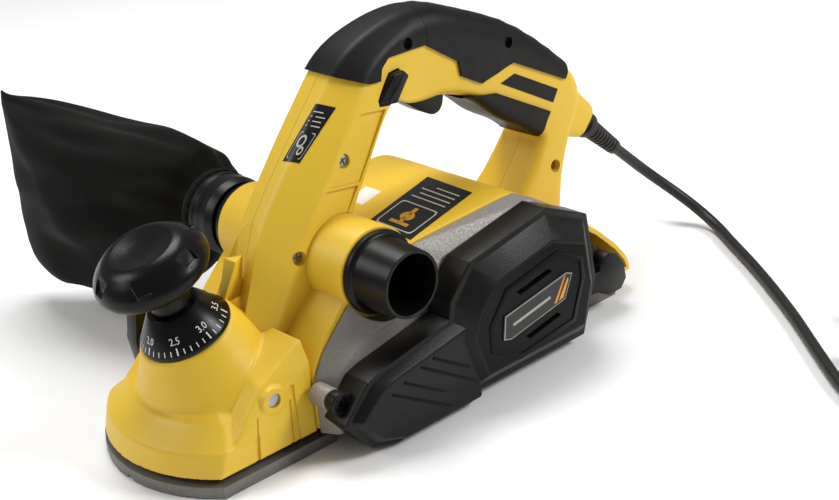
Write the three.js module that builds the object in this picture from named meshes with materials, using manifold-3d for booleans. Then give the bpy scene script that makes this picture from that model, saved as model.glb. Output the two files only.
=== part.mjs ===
// Electric hand planer, 110 mm cut, in millimetres.
// +X runs from the toe to the heel, +Z is up, and the belt side faces -Y.
// The origin is the middle of the flat rear sole.
import * as THREE from 'three';
import { ConvexGeometry } from 'three/addons/geometries/ConvexGeometry.js';
import { mergeVertices } from 'three/addons/utils/BufferGeometryUtils.js';
import Module from 'manifold-3d';

const wasm = await Module();
wasm.setup();

// ---------------------------------------------------------------- driving dimensions
const GAP = 0.3;                 // between touching pieces
const SOLE_HALF = 57;            // half width of both soles
const REAR_SOLE_HALF_LENGTH = 107;
const REAR_SOLE_THICK = 8;
const FRONT_SOLE_THICK = 7;
const TOE_X = -238;              // front apex of the toe
const TOE_RADIUS = 83;
const FRONT_SOLE_REAR = -138;
const FLOOR_TOP = 11.3;          // top of the casting's floor
const SKIRT_Z = 11.2;            // lowest edge of the hood, above the raised front sole
const BODY_HALF = 56.5;          // half width of hood and motor housing
const BODY_FRONT = -149.5;       // where hood and motor housing meet

const DRUM_X = -121;
const DRUM_Z = 24;
const DRUM_RADIUS = 22.6;
const BLADE_TIP = 23.8;
const MOTOR_X = -5;
const MOTOR_Z = 52;
const DUCT_X = -98.4;
const DUCT_Z = 89.9;
const DUCT_BORE = 18;
const BARREL_RADIUS = 25.5;

const DIAL_X = -189.2;
const DIAL_Z = 73.2;
const DIAL_TILT = THREE.MathUtils.degToRad(20);
const DIAL_RADIUS = 26.2;

const PLATE_INNER = -57.3;       // casting side plate, from here
const PLATE_OUTER = -68;         // to here
const COVER_BACK = -68.3;
const COVER_FACE = -96;
const WALL = 3;

const DRIVE_PULLEY_RADIUS = 10;
const DRIVEN_PULLEY_RADIUS = 16;
const BELT_FRONT = -86;
const BELT_BACK = -73;

const CORD_RADIUS = 3.75;
const COIL_RADIUS = 46;          // middle of the turns
const COIL_HALF_WIDTH = 11;
const COIL_X = 122;
const COIL_Y = -290;
const PLUG_RADIUS = 18;

// ---------------------------------------------------------------- solids
const dialAxis = new THREE.Vector3(-Math.sin(DIAL_TILT), 0, Math.cos(DIAL_TILT));
const dialCentre = new THREE.Vector3(DIAL_X, 0, DIAL_Z);

function solidOf(geometry) {
  const plain = geometry.clone();
  ['normal', 'uv'].filter((name) => plain.hasAttribute(name)).forEach((name) => plain.deleteAttribute(name));
  const merged = mergeVertices(plain, 1e-4);
  const position = merged.attributes.position;
  const faces = [];
  for (let i = 0; i < merged.index.count; i += 3) {
    const [a, b, c] = [0, 1, 2].map((k) => merged.index.getX(i + k));
    if (a !== b && b !== c && a !== c) {
      faces.push([a, b, c]);
    }
  }
  const corner = (index) => new THREE.Vector3().fromBufferAttribute(position, index);
  let volume = 0;
  for (const [a, b, c] of faces) {
    volume += corner(a).dot(corner(b).cross(corner(c)));
  }
  const outward = volume > 0 ? faces : faces.map(([a, b, c]) => [a, c, b]);
  const mesh = new wasm.Mesh({
    numProp: 3,
    vertProperties: new Float32Array(position.array),
    triVerts: new Uint32Array(outward.flat()),
  });
  return new wasm.Manifold(mesh);
}

function geometryOf(solid) {
  const mesh = solid.getMesh();
  const geometry = new THREE.BufferGeometry();
  geometry.setAttribute('position', new THREE.BufferAttribute(new Float32Array(mesh.vertProperties), 3));
  geometry.setIndex(new THREE.BufferAttribute(new Uint32Array(mesh.triVerts), 1));
  return geometry;
}

function union(...solids) {
  return solids.reduce((sum, next) => sum.add(next));
}

function cut(solid, ...tools) {
  return tools.reduce((rest, tool) => rest.subtract(tool), solid);
}

// Prism of a closed outline. The outline is (x, z) for axis y, (x, y) for axis z, (y, z) for axis x.
function prism(axis, outline, from, to) {
  const shape = new THREE.Shape(outline.map(([a, b]) => new THREE.Vector2(a, b)));
  const geometry = new THREE.ExtrudeGeometry(shape, { depth: to - from, bevelEnabled: false, steps: 1 });
  const place = new THREE.Matrix4();
  if (axis === 'x') {
    place.set(0, 0, 1, from, 1, 0, 0, 0, 0, 1, 0, 0, 0, 0, 0, 1);
  } else if (axis === 'y') {
    place.set(1, 0, 0, 0, 0, 0, 1, from, 0, 1, 0, 0, 0, 0, 0, 1);
  } else {
    place.makeTranslation(0, 0, from);
  }
  return solidOf(geometry.applyMatrix4(place));
}

function circle(a, b, radius, count = 20) {
  const points = [];
  for (let i = 0; i < count; i += 1) {
    const angle = (2 * Math.PI * (i + 0.5)) / count;
    points.push([a + radius * Math.cos(angle), b + radius * Math.sin(angle)]);
  }
  return points;
}

function rod(axis, a, b, radius, from, to, count = 20) {
  return prism(axis, circle(a, b, radius, count), from, to);
}

function box(x0, x1, y0, y1, z0, z1) {
  return prism('z', [[x0, y0], [x1, y0], [x1, y1], [x0, y1]], z0, z1);
}

// Solid of revolution: (radius, height) pairs about a line through base along direction.
function revolve(profile, base, direction, count = 20) {
  const points = profile.map(([r, h]) => new THREE.Vector2(r, h));
  const geometry = new THREE.LatheGeometry(points, count);
  const turn = new THREE.Quaternion().setFromUnitVectors(new THREE.Vector3(0, 1, 0), direction);
  const place = new THREE.Matrix4().compose(base, turn, new THREE.Vector3(1, 1, 1));
  return solidOf(geometry.applyMatrix4(place));
}

function ring(x, z, inner, outer, from, to, count = 20) {
  return cut(rod('y', x, z, outer, from, to, count), rod('y', x, z, inner, from - 1, to + 1, count));
}

function hull(points) {
  return solidOf(new ConvexGeometry(points));
}

// Outline points (x, z) lifted to a plane of constant y.
function atY(outline, y) {
  return outline.map(([x, z]) => new THREE.Vector3(x, y, z));
}

// Outline points (x, y) lifted to a plane of constant z.
function atZ(outline, z) {
  return outline.map(([x, y]) => new THREE.Vector3(x, y, z));
}

// Skin through a row of rings with equal point counts, closed by a flat face at each end.
function skin(rings) {
  const count = rings[0].length;
  const last = (rings.length - 1) * count;
  const faces = [];
  for (let i = 1; i + 1 < count; i += 1) {
    faces.push(0, i + 1, i, last, last + i, last + i + 1);
  }
  for (let start = 0; start < last; start += count) {
    for (let i = 0; i < count; i += 1) {
      const a = start + i;
      const b = start + ((i + 1) % count);
      faces.push(a, b, a + count, b, b + count, a + count);
    }
  }
  const geometry = new THREE.BufferGeometry().setFromPoints(rings.flat());
  geometry.setIndex(faces);
  return solidOf(geometry);
}

// Rings with the first and last moved outwards along the row.
function stretch(rings, first, last) {
  const middle = (ring) => ring.reduce((sum, point) => sum.add(point), new THREE.Vector3())
    .divideScalar(ring.length);
  const move = (ring, next, amount) => {
    const step = middle(ring).sub(middle(next)).normalize().multiplyScalar(amount);
    return ring.map((point) => point.clone().add(step));
  };
  const count = rings.length;
  const moved = [...rings];
  moved[0] = move(rings[0], rings[1], first);
  moved[count - 1] = move(rings[count - 1], rings[count - 2], last);
  return moved;
}

// Outline moved inwards by an amount, for convex outlines given counter-clockwise.
function shrink(outline, amount) {
  const count = outline.length;
  const lines = outline.map(([x, z], i) => {
    const [nx, nz] = outline[(i + 1) % count];
    const length = Math.hypot(nx - x, nz - z);
    const normal = [-(nz - z) / length, (nx - x) / length];
    return { point: [x + normal[0] * amount, z + normal[1] * amount], along: [nx - x, nz - z] };
  });
  return lines.map((line, i) => {
    const before = lines[(i + count - 1) % count];
    const cross = before.along[0] * line.along[1] - before.along[1] * line.along[0];
    const dx = line.point[0] - before.point[0];
    const dz = line.point[1] - before.point[1];
    const t = (dx * line.along[1] - dz * line.along[0]) / cross;
    return [before.point[0] + before.along[0] * t, before.point[1] + before.along[1] * t];
  });
}

// ---------------------------------------------------------------- the finished group
const group = new THREE.Group();
group.name = 'electric_hand_planer';

const FINISH = {
  yellow: { color: 0xe3bd3a, roughness: 0.5, metalness: 0 },
  black: { color: 0x1d1c1a, roughness: 0.55, metalness: 0 },
  gripBlack: { color: 0x23211e, roughness: 0.8, metalness: 0 },
  cast: { color: 0x8e8c88, roughness: 0.6, metalness: 0.7 },
  steel: { color: 0xb4b4b2, roughness: 0.35, metalness: 1 },
  copper: { color: 0x9a5a33, roughness: 0.5, metalness: 0.8 },
  brass: { color: 0xb59a4a, roughness: 0.35, metalness: 1 },
  fabric: { color: 0x141412, roughness: 0.95, metalness: 0 },
  rubber: { color: 0x161616, roughness: 0.8, metalness: 0 },
};

function place(name, solid, finish) {
  const mesh = new THREE.Mesh(geometryOf(solid), new THREE.MeshStandardMaterial(FINISH[finish]));
  mesh.name = name;
  group.add(mesh);
}

// ---------------------------------------------------------------- soles
// Plan outline of the toe: a round front between two straight sides.
function toeOutline(inset, rear) {
  const radius = TOE_RADIUS - inset;
  const half = SOLE_HALF - inset;
  const centreX = TOE_X + TOE_RADIUS;
  const sweep = Math.asin(half / radius);
  const points = [[rear, -half], [rear, half]];
  const steps = 10;
  for (let i = 0; i <= steps; i += 1) {
    const angle = Math.PI - sweep + (2 * sweep * i) / steps;
    points.push([centreX + radius * Math.cos(angle), radius * Math.sin(angle)]);
  }
  return points;
}

function drumSweep(radius, z) {
  return rod('y', DRUM_X, z, radius, -SOLE_HALF - 1, SOLE_HALF + 1, 48);
}

function frontShoe() {
  const plate = prism('z', toeOutline(0, FRONT_SOLE_REAR), 0, FRONT_SOLE_THICK);
  const block = box(-187, -155, -22, 22, FRONT_SOLE_THICK - 1, 20);
  const groove = hull([
    ...[TOE_X - 1, FRONT_SOLE_REAR + 1].flatMap((x) => [
      new THREE.Vector3(x, -4, -0.01),
      new THREE.Vector3(x, 4, -0.01),
      new THREE.Vector3(x, 0, 3),
    ]),
  ]);
  const nutPocket = revolve([[0, -64], [8.3, -64], [8.3, -48], [0, -48]], dialCentre, dialAxis);
  const spindlePath = revolve([[0, -74], [4.6, -74], [4.6, -40], [0, -40]], dialCentre, dialAxis);
  const clear = [drumSweep(25.3, DRUM_Z), drumSweep(25.3, DRUM_Z - 3.6)];
  return cut(union(plate, block), groove, nutPocket, spindlePath, ...clear);
}

function rearShoe() {
  const end = REAR_SOLE_HALF_LENGTH;
  const plate = box(-end, end, -SOLE_HALF, SOLE_HALF, 0, REAR_SOLE_THICK);
  const heelCorners = [1, -1].map((side) => prism('z', [
    [end + 1, side * (SOLE_HALF - 9)],
    [end - 8, side * (SOLE_HALF + 1)],
    [end + 1, side * (SOLE_HALF + 1)],
  ], -1, REAR_SOLE_THICK + 1));
  return cut(plate, drumSweep(25.3, DRUM_Z), ...heelCorners);
}

place('front_shoe', frontShoe(), 'cast');
place('rear_shoe', rearShoe(), 'cast');

// ---------------------------------------------------------------- loop handle
// Stations round the loop: outer and inner point (x, z), half width and the outer corner cut.
const LOOP = [
  { outer: [-170, 66], inner: [-96, 60], half: 27, corner: [20, 18] },
  { outer: [-149, 99], inner: [-88, 102], half: 27, corner: [20, 18] },
  { outer: [-127, 131], inner: [-69, 136], half: 27, corner: [20, 18] },
  { outer: [-95, 170], inner: [-46, 166], half: 25, corner: [17, 15] },
  { outer: [-70, 196], inner: [-30, 160], half: 22, corner: [12, 12] },
  { outer: [-38, 208], inner: [-16, 157], half: 19, corner: [9, 9] },
  { outer: [-6, 210], inner: [0, 156], half: 18, corner: [9, 9] },
  { outer: [25, 200], inner: [22, 148], half: 18, corner: [9, 9] },
  { outer: [64, 182], inner: [44, 131], half: 18, corner: [9, 9] },
  { outer: [100, 155], inner: [66, 118], half: 19, corner: [9, 9] },
  { outer: [121, 131], inner: [78, 107], half: 19, corner: [9, 9] },
  { outer: [108, 103], inner: [74, 99], half: 20, corner: [6, 6] },
  { outer: [98, 80], inner: [63, 85], half: 22, corner: [6, 6] },
  { outer: [91, 50.8], inner: [55, 76], half: 24, corner: [6, 6] },
];
const CORD_COLLAR = [
  { outer: [104, 145], inner: [82, 106], half: 14, corner: [6, 6] },
  { outer: [138, 111], inner: [121, 92], half: 13, corner: [6, 6] },
];

function halfRing(station, side, inset, start) {
  const outer = new THREE.Vector2(...station.outer);
  const along = new THREE.Vector2(...station.inner).sub(outer);
  const length = along.length();
  along.normalize();
  const reach = station.half - inset;
  const [deep, wide] = station.corner;
  const back = 4;
  const corners = [
    [inset, start],
    [inset, reach - wide],
    [inset + deep, reach],
    [length - inset - back, reach],
    [length - inset, reach - back],
    [length - inset, start],
  ];
  return corners.map(([s, y]) => new THREE.Vector3(outer.x + along.x * s, side * y, outer.y + along.y * s));
}

function handleHalf(side, inset, start) {
  const rings = (stations) => stations.map((station) => halfRing(station, side, inset, start));
  const open = Math.max(2, -inset);
  const loop = skin(inset > 0 ? stretch(rings(LOOP), open, open) : stretch(rings(LOOP), -inset, -inset));
  return union(loop, skin(stretch(rings(CORD_COLLAR), 0, -inset)));
}

const handleClearance = union(handleHalf(-1, -GAP, -1), handleHalf(1, -GAP, -1));

const HANDLE_SCREWS = [
  { x: -88, z: 144, half: 27 },
  { x: -127, z: 99, half: 27 },
  { x: -30, z: 196, half: 19 },
  { x: 52, z: 176, half: 18 },
  { x: 86, z: 86, half: 21 },
];
const TRIGGER_SLOT = box(-29, 9, -7.6, 7.6, 138, 172);
const LOCK_OUTLINE = [[-58.6, 167], [-45.2, 165.2], [-34.4, 179.6], [-38.4, 184], [-46.8, 183.4], [-58.8, 170.6]];
const CORD_DIRECTION = new THREE.Vector3(0.76, 0, -0.65).normalize();
const CORD_EXIT = new THREE.Vector3(129, 0, 103);

function handleShell(side) {
  const shell = cut(handleHalf(side, 0, 0.15), handleHalf(side, WALL, -1));
  const bosses = HANDLE_SCREWS.map(({ x, z, half }) => {
    const span = side < 0 ? [-half + 1, -0.15] : [0.15, half - 1];
    return rod('y', x, z, 6, ...span, 16);
  });
  const bores = HANDLE_SCREWS.flatMap(({ x, z, half }) => {
    if (side > 0) {
      return [rod('y', x, z, 2.3, -1, 9, 12)];
    }
    return [rod('y', x, z, 2.3, -half - 1, 1, 12), rod('y', x, z, 4.2, -half - 1, -half + 7, 16)];
  });
  const barrel = rod('y', DUCT_X, DUCT_Z, BARREL_RADIUS + GAP, -30, 30, 40);
  const dialRoom = revolve([[0, -6], [29.5, -6], [31, 24], [0, 24]], dialCentre, dialAxis, 40);
  const guardBore = revolve([[0, -26], [7.4, -26], [7.4, 16], [0, 16]], CORD_EXIT, CORD_DIRECTION, 20);
  const tools = [barrel, dialRoom, TRIGGER_SLOT, guardBore, ...bores];
  if (side < 0) {
    tools.push(prism('y', LOCK_OUTLINE, -30, -10));
  }
  return cut(union(shell, ...bosses.map((boss) => boss.intersect(handleHalf(side, 0.5, 0.15)))), ...tools);
}

place('handle_left', handleShell(-1), 'yellow');
place('handle_right', handleShell(1), 'yellow');

HANDLE_SCREWS.forEach(({ x, z, half }, index) => {
  const head = rod('y', x, z, 3.8, -half + 3.4, -half + 6.6, 16);
  const shank = rod('y', x, z, 1.9, -half + 6, 8, 12);
  place(`handle_screw_${index + 1}`, union(head, shank), 'steel');
});

// Rubber over-mouldings: skins of even thickness over parts of the handle.
function gripSkin(outline, halfWidth) {
  const proud = union(handleHalf(-1, -1.8, -0.1), handleHalf(1, -1.8, -0.1));
  const region = prism('y', outline, -halfWidth, halfWidth);
  return proud.intersect(region).subtract(handleClearance);
}

const VISOR = [
  [-92, 194.5], [-78, 187.6], [-64, 181.8], [-55, 181], [-52.6, 187.7], [-46.5, 192.2],
  [-14.6, 191.6], [-14.6, 225], [-92, 225],
];
const TOP_GRIP = [
  [-14.2, 190.4], [9.4, 175], [11.1, 165.5], [27.5, 156.6], [55.2, 162.6], [99.9, 140.1],
  [112, 150], [90, 185], [40, 225], [-14.2, 225],
];
const UNDER_GRIP = [
  [14.7, 151.1], [39.5, 147.2], [85, 123], [81, 117.5], [76, 108], [50, 112], [10, 142],
];
const skinCuts = HANDLE_SCREWS.map(({ x, z }) => rod('y', x, z, 4.6, -40, 0, 16));
place('grip_visor', cut(gripSkin(VISOR, 40), ...skinCuts), 'gripBlack');
place('grip_top', cut(gripSkin(TOP_GRIP, 40), ...skinCuts), 'gripBlack');
place('grip_under', gripSkin(UNDER_GRIP, 40), 'gripBlack');

// ---------------------------------------------------------------- switch, trigger and lock button
function trigger() {
  const side = [[-28, 166], [-28, 160], [-14, 149], [-2, 142.5], [4, 144], [7, 150], [7.5, 164]];
  return prism('y', side, -6.8, 6.8);
}

function switchBody() {
  return box(-27, 12, -11, 11, 172.6, 190);
}

place('trigger', trigger(), 'black');
place('switch_body', switchBody(), 'black');
place('lock_button', prism('y', shrink(LOCK_OUTLINE, 0.4), -26.5, -14), 'black');

// ---------------------------------------------------------------- toe hood
function dialDisc(radius, height, count = 28) {
  const across = new THREE.Vector3(Math.cos(DIAL_TILT), 0, Math.sin(DIAL_TILT));
  return circle(0, 0, radius, count).map(([a, b]) => dialCentre.clone()
    .addScaledVector(dialAxis, height)
    .addScaledVector(across, a)
    .add(new THREE.Vector3(0, b, 0)));
}

// Threaded holes for the fence, one in each side of the hood.
const GUIDE_X = -176;
const GUIDE_Z = 42;

function toeHood() {
  const rear = BODY_FRONT - GAP;
  const skirt = prism('z', toeOutline(1, rear), SKIRT_Z, 26);
  const dome = skin([
    atZ(toeOutline(1.2, rear), 25),
    atZ(toeOutline(9, rear), 38),
    atZ(toeOutline(20, rear), 46),
  ]);
  const cone = hull([...dialDisc(27.2, -1), ...dialDisc(38, -24)]);
  const shoulder = hull([
    ...[-1, 1].flatMap((side) => [
      new THREE.Vector3(-205, side * 55, 25),
      new THREE.Vector3(rear, side * 56, 25),
      new THREE.Vector3(-182, side * 52, 50),
      new THREE.Vector3(rear, side * 56, 54),
      new THREE.Vector3(rear, side * 50, 66),
      new THREE.Vector3(rear, side * 26, 62),
      new THREE.Vector3(-178, side * 26, 54),
    ]),
  ]);
  const cavity = prism('z', toeOutline(4.5, rear - WALL), SKIRT_Z - 1, 24);
  const upperCavity = box(-196, rear - WALL, -40, 40, 20, 36);
  const spindleBore = revolve([[0, -60], [4.8, -60], [4.8, 2], [0, 2]], dialCentre, dialAxis, 20);
  const springWell = revolve([[0, -22], [9.5, -22], [9.5, 2], [0, 2]], dialCentre, dialAxis, 24);
  const guideSpans = [[-60, -44], [44, 60]];
  const guideBores = guideSpans.map(([from, to]) => rod('y', GUIDE_X, GUIDE_Z, 4.2, from, to, 16));
  const body = union(skirt, dome, cone, shoulder);
  return cut(body, cavity, upperCavity, spindleBore, springWell, handleClearance, ...guideBores);
}

place('toe_hood', toeHood(), 'yellow');

// ---------------------------------------------------------------- depth adjustment
function depthKnob() {
  const profile = [
    [0, -1], [11.8, -1], [11.8, 27], [13, 33], [28, 37], [32, 41],
    [33, 45], [31, 51], [25, 56], [14, 59.5], [0, 61],
  ];
  const notches = [];
  for (let i = 0; i < 8; i += 1) {
    const angle = (i * Math.PI) / 4;
    const notch = rod('z', 36.5 * Math.cos(angle), 36.5 * Math.sin(angle), 6, 36, 50, 12);
    notches.push(notch);
  }
  const body = revolve(profile, new THREE.Vector3(), new THREE.Vector3(0, 0, 1), 40);
  const bore = rod('z', 0, 0, 4.3, -2, 24, 20);
  const upright = cut(body, bore, ...notches);
  const turn = new THREE.Quaternion().setFromUnitVectors(new THREE.Vector3(0, 0, 1), dialAxis);
  const matrix = new THREE.Matrix4().compose(dialCentre, turn, new THREE.Vector3(1, 1, 1));
  return solidOf(geometryOf(upright).applyMatrix4(matrix));
}

function dialRing() {
  const profile = [[12.2, -0.6], [DIAL_RADIUS, -0.6], [DIAL_RADIUS, 1.4], [15, 18], [12.2, 18], [12.2, -0.6]];
  return revolve(profile, dialCentre, dialAxis, 40);
}

function springWire() {
  const turns = 4;
  const bottom = -20.5;
  const top = -3;
  const wire = 0.8;
  const helix = new THREE.CatmullRomCurve3(Array.from({ length: turns * 8 + 1 }, (_, i) => {
    const angle = (i * Math.PI) / 4;
    const height = bottom + ((top - bottom) * i) / (turns * 8);
    return new THREE.Vector3(7.2 * Math.cos(angle), 7.2 * Math.sin(angle), height);
  }));
  const section = new THREE.Shape(circle(0, 0, wire, 6).map(([a, b]) => new THREE.Vector2(a, b)));
  const geometry = new THREE.ExtrudeGeometry(section, { extrudePath: helix, steps: turns * 12 });
  const turn = new THREE.Quaternion().setFromUnitVectors(new THREE.Vector3(0, 0, 1), dialAxis);
  const matrix = new THREE.Matrix4().compose(dialCentre, turn, new THREE.Vector3(1, 1, 1));
  return solidOf(geometry.applyMatrix4(matrix));
}

function depthNut() {
  const profile = [[4.35, -63.7], [8, -63.7], [8, -54], [4.35, -54], [4.35, -63.7]];
  return revolve(profile, dialCentre, dialAxis, 20);
}

place('depth_knob', depthKnob(), 'black');
place('dial_ring', dialRing(), 'black');
const SPINDLE = [[0, -67.5], [4, -67.5], [4, 23], [0, 23]];
place('depth_spindle', revolve(SPINDLE, dialCentre, dialAxis, 20), 'steel');
place('depth_nut', depthNut(), 'brass');
place('depth_spring', springWire(), 'steel');

// ---------------------------------------------------------------- motor housing
const HOUSING_SIDE = [
  [BODY_FRONT, FLOOR_TOP + GAP], [117, FLOOR_TOP + GAP], [114, 22], [104, 34], [86, 50.5], [52, 75],
  [27, 92], [8, 102], [-73, 98], [-118, 84], [-142, 60], [BODY_FRONT, 46],
];

// Outline in front of the motor, round the cutter chamber and the chip duct.
const HOUSING_FRONT = [
  [BODY_FRONT, FLOOR_TOP + GAP], [-62, FLOOR_TOP + GAP], [-62, 98], [-73, 98],
  [-118, 84], [-142, 60], [BODY_FRONT, 46],
];
const HOUSING_REAR = [
  [-62, FLOOR_TOP + GAP], [117, FLOOR_TOP + GAP], [114, 22], [104, 34], [86, 50.5],
  [52, 75], [27, 92], [8, 102], [-62, 98],
];
const HOUSING_WALL = 3.5;

function motorHousing() {
  const shell = prism('y', HOUSING_SIDE, -BODY_HALF, BODY_HALF);
  const inner = shrink(HOUSING_REAR, HOUSING_WALL);
  const cavity = prism('y', inner, -BODY_HALF - 1, BODY_HALF - 4);
  const frontCavity = prism('y', shrink(HOUSING_FRONT, HOUSING_WALL), -BODY_HALF - 1, BODY_HALF - 4);
  const chamberWall = rod('y', DRUM_X, DRUM_Z, 30, -BODY_HALF, BODY_HALF, 40);
  const chipWall = box(-128, -92, -48, 48, 40, 88);
  const frontWalls = union(chamberWall, chipWall).intersect(shell);
  const ribs = [[-16, -12], [28, 32]].map(([from, to]) => cut(
    prism('y', shrink(inner, -1), from, to),
    rod('y', MOTOR_X, MOTOR_Z, 36.4, from - 1, to + 1, 36),
    box(62, 120, from - 1, to + 1, 0, 60),
  ));
  const barrel = rod('y', DUCT_X, DUCT_Z, BARREL_RADIUS, -BODY_HALF, BODY_HALF, 40);
  const bore = rod('y', DUCT_X, DUCT_Z, DUCT_BORE + 1.5, -BODY_HALF - 1, BODY_HALF + 1, 32);
  const chamber = rod('y', DRUM_X, DRUM_Z, 26.5, -BODY_HALF - 1, BODY_HALF + 1, 40);
  const chipWay = box(-124, -96, -44, 44, 40, 88);
  const farBoss = rod('y', MOTOR_X, MOTOR_Z, 15, BODY_HALF - 9, BODY_HALF - 0.5, 28);
  const farBore = rod('y', MOTOR_X, MOTOR_Z, 11.3, BODY_HALF - 10, BODY_HALF - 1.2, 28);
  const ventStarts = [22, 29, 36, 43, 50];
  const vents = ventStarts.map((x) => box(x, x + 4, BODY_HALF - 5, BODY_HALF + 1, 30, 62));
  const hollow = union(cut(shell, cavity, frontCavity), frontWalls);
  const body = union(cut(hollow, handleClearance), ...ribs, barrel, farBoss);
  return cut(body, bore, chamber, chipWay, farBore, ...vents);
}

place('motor_housing', motorHousing(), 'yellow');

// ---------------------------------------------------------------- casting and bearing plate
const PLATE_BACK = [
  [-150, 9], [62, 9], [64, 66], [52, 77], [27, 92], [8, 102], [-73, 97], [-118, 82], [-142, 58], [-150, 44],
];
const PLATE_FRONT = [
  [-144, 9], [58, 9], [60, 66], [49, 74], [18, 97], [-48, 85], [-65, 66], [-129, 55], [-141, 46],
];
const FOOT_PIVOT = [54, 24];
const EAR_X = -150;
const EAR_Z = 37;

function frameCasting() {
  const plate = hull([...atY(PLATE_BACK, PLATE_INNER), ...atY(PLATE_FRONT, PLATE_OUTER)]);
  const floor = box(-98, 104, PLATE_INNER - 1, BODY_HALF, REAR_SOLE_THICK + GAP, FLOOR_TOP);
  const ear = rod('y', EAR_X, EAR_Z, 6.5, -73, PLATE_INNER, 24);
  const motorBore = rod('y', MOTOR_X, MOTOR_Z, 14.3, -70, -50, 32);
  const drumBore = rod('y', DRUM_X, DRUM_Z, 13.3, -70, -50, 32);
  const ductRelief = rod('y', DUCT_X, DUCT_Z, BARREL_RADIUS + 0.5, -70, -50, 40);
  const drumRelief = drumSweep(26.5, DRUM_Z).intersect(box(-160, -90, PLATE_INNER + 0.1, 60, 0, 60));
  const screwBore = rod('y', EAR_X, EAR_Z, 2.3, -74, -60, 12);
  const pinBore = rod('y', ...FOOT_PIVOT, 3.3, -70, -60, 16);
  const shoeRoom = box(-160, -100, -70, -50, 0, 10.8);
  const bearings = [motorBore, drumBore];
  const reliefs = [ductRelief, drumRelief, shoeRoom];
  return cut(union(plate, floor, ear), ...bearings, ...reliefs, screwBore, pinBore);
}

function farBearingPlate() {
  const outline = [[-149, 12], [-62, 12], [-62, 50], [-76, 62], [-128, 62], [-144, 50]];
  const plate = prism('y', outline, BODY_HALF + GAP, BODY_HALF + 5);
  const boss = rod('y', DRUM_X, DRUM_Z, 16.5, BODY_HALF + GAP, BODY_HALF + 11, 32);
  const aboveSole = box(-150, -90, 50, 80, 7, 60);
  const pocket = rod('y', DRUM_X, DRUM_Z, 13.3, BODY_HALF - 1, BODY_HALF + 9, 32);
  const ductRelief = rod('y', DUCT_X, DUCT_Z, BARREL_RADIUS + 0.5, 50, 70, 40);
  return cut(union(plate, boss.intersect(aboveSole)), pocket, ductRelief);
}

place('frame_casting', frameCasting(), 'cast');
place('far_bearing_plate', farBearingPlate(), 'cast');

// ---------------------------------------------------------------- cutter drum and its drive
function cutterDrum() {
  const barrel = rod('y', DRUM_X, DRUM_Z, DRUM_RADIUS, -54, 54, 36);
  const shaft = rod('y', DRUM_X, DRUM_Z, 6, -88.5, 64, 20);
  const slots = [1, -1].map((side) => {
    const near = DRUM_X + side * 13;
    const far = DRUM_X + side * 26;
    return box(Math.min(near, far), Math.max(near, far), -56, 56, DRUM_Z - 5, DRUM_Z + 5);
  });
  return union(cut(barrel, ...slots), shaft);
}

place('cutter_drum', cutterDrum(), 'cast');
[1, -1].forEach((side, index) => {
  const span = (near, far) => [DRUM_X + side * near, DRUM_X + side * far].sort((a, b) => a - b);
  const low = side > 0 ? DRUM_Z - 4.7 : DRUM_Z + 3.2;
  const clampLow = side > 0 ? DRUM_Z - 2.9 : DRUM_Z - 4.7;
  place(`blade_${index + 1}`, box(...span(13.3, BLADE_TIP), -55, 55, low, low + 1.5), 'steel');
  place(`blade_clamp_${index + 1}`, box(...span(13.3, 21.4), -54, 54, clampLow, clampLow + 7.6), 'cast');
});

function bearing(x, z, inner, outer, from, to) {
  return ring(x, z, inner, outer, from, to, 20);
}

place('drum_bearing_near', bearing(DRUM_X, DRUM_Z, 6.3, 13, -67.5, -58), 'steel');
place('drum_bearing_far', bearing(DRUM_X, DRUM_Z, 6.3, 13, 57, 65), 'steel');
place('motor_bearing_near', bearing(MOTOR_X, MOTOR_Z, 5.3, 14, -67.5, -58), 'steel');
place('motor_bearing_far', bearing(MOTOR_X, MOTOR_Z, 4.3, 11, 48.5, 55), 'steel');

function armature() {
  const shaft = union(
    rod('y', MOTOR_X, MOTOR_Z, 5, -90, 40, 20),
    rod('y', MOTOR_X, MOTOR_Z, 4, 39, 54, 20),
  );
  const core = rod('y', MOTOR_X, MOTOR_Z, 21.5, -14, 28, 28);
  const commutator = rod('y', MOTOR_X, MOTOR_Z, 12, 33, 45, 24);
  return union(shaft, core, commutator);
}

function coolingFan() {
  const disc = ring(MOTOR_X, MOTOR_Z, 5.3, 33, -30, -27.5, 32);
  const blades = [];
  for (let i = 0; i < 10; i += 1) {
    const geometry = geometryOf(box(12, 32, -44, -28, -1, 1));
    geometry.rotateY((i * Math.PI) / 5);
    geometry.translate(MOTOR_X, 0, MOTOR_Z);
    blades.push(solidOf(geometry));
  }
  return union(disc, ring(MOTOR_X, MOTOR_Z, 5.3, 13, -44, -28, 24), ...blades);
}

function stator() {
  const core = rod('y', MOTOR_X, MOTOR_Z, 36, -18, 34, 36);
  const bore = rod('y', MOTOR_X, MOTOR_Z, 22.3, -20, 36, 32);
  const slots = [1, -1].map((side) => box(
    MOTOR_X - 12, MOTOR_X + 12, -20, 36,
    MOTOR_Z + (side > 0 ? 18 : -29), MOTOR_Z + (side > 0 ? 29 : -18),
  ));
  return cut(core, bore, ...slots);
}

place('armature', armature(), 'copper');
place('cooling_fan', coolingFan(), 'black');
place('stator', stator(), 'steel');
[1, -1].forEach((side) => {
  const near = MOTOR_X + side * 12.4;
  const far = MOTOR_X + side * 34;
  const name = side > 0 ? 'brush_rear' : 'brush_front';
  place(name, box(Math.min(near, far), Math.max(near, far), 35, 43, MOTOR_Z - 4, MOTOR_Z + 4), 'brass');
});

function pulley(x, z, radius, bore) {
  const body = ring(x, z, bore, radius, BELT_FRONT, BELT_BACK, 32);
  const flange = ring(x, z, bore, radius + 2.6, BELT_BACK - 0.1, BELT_BACK + 2, 32);
  return union(body, flange);
}

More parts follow.
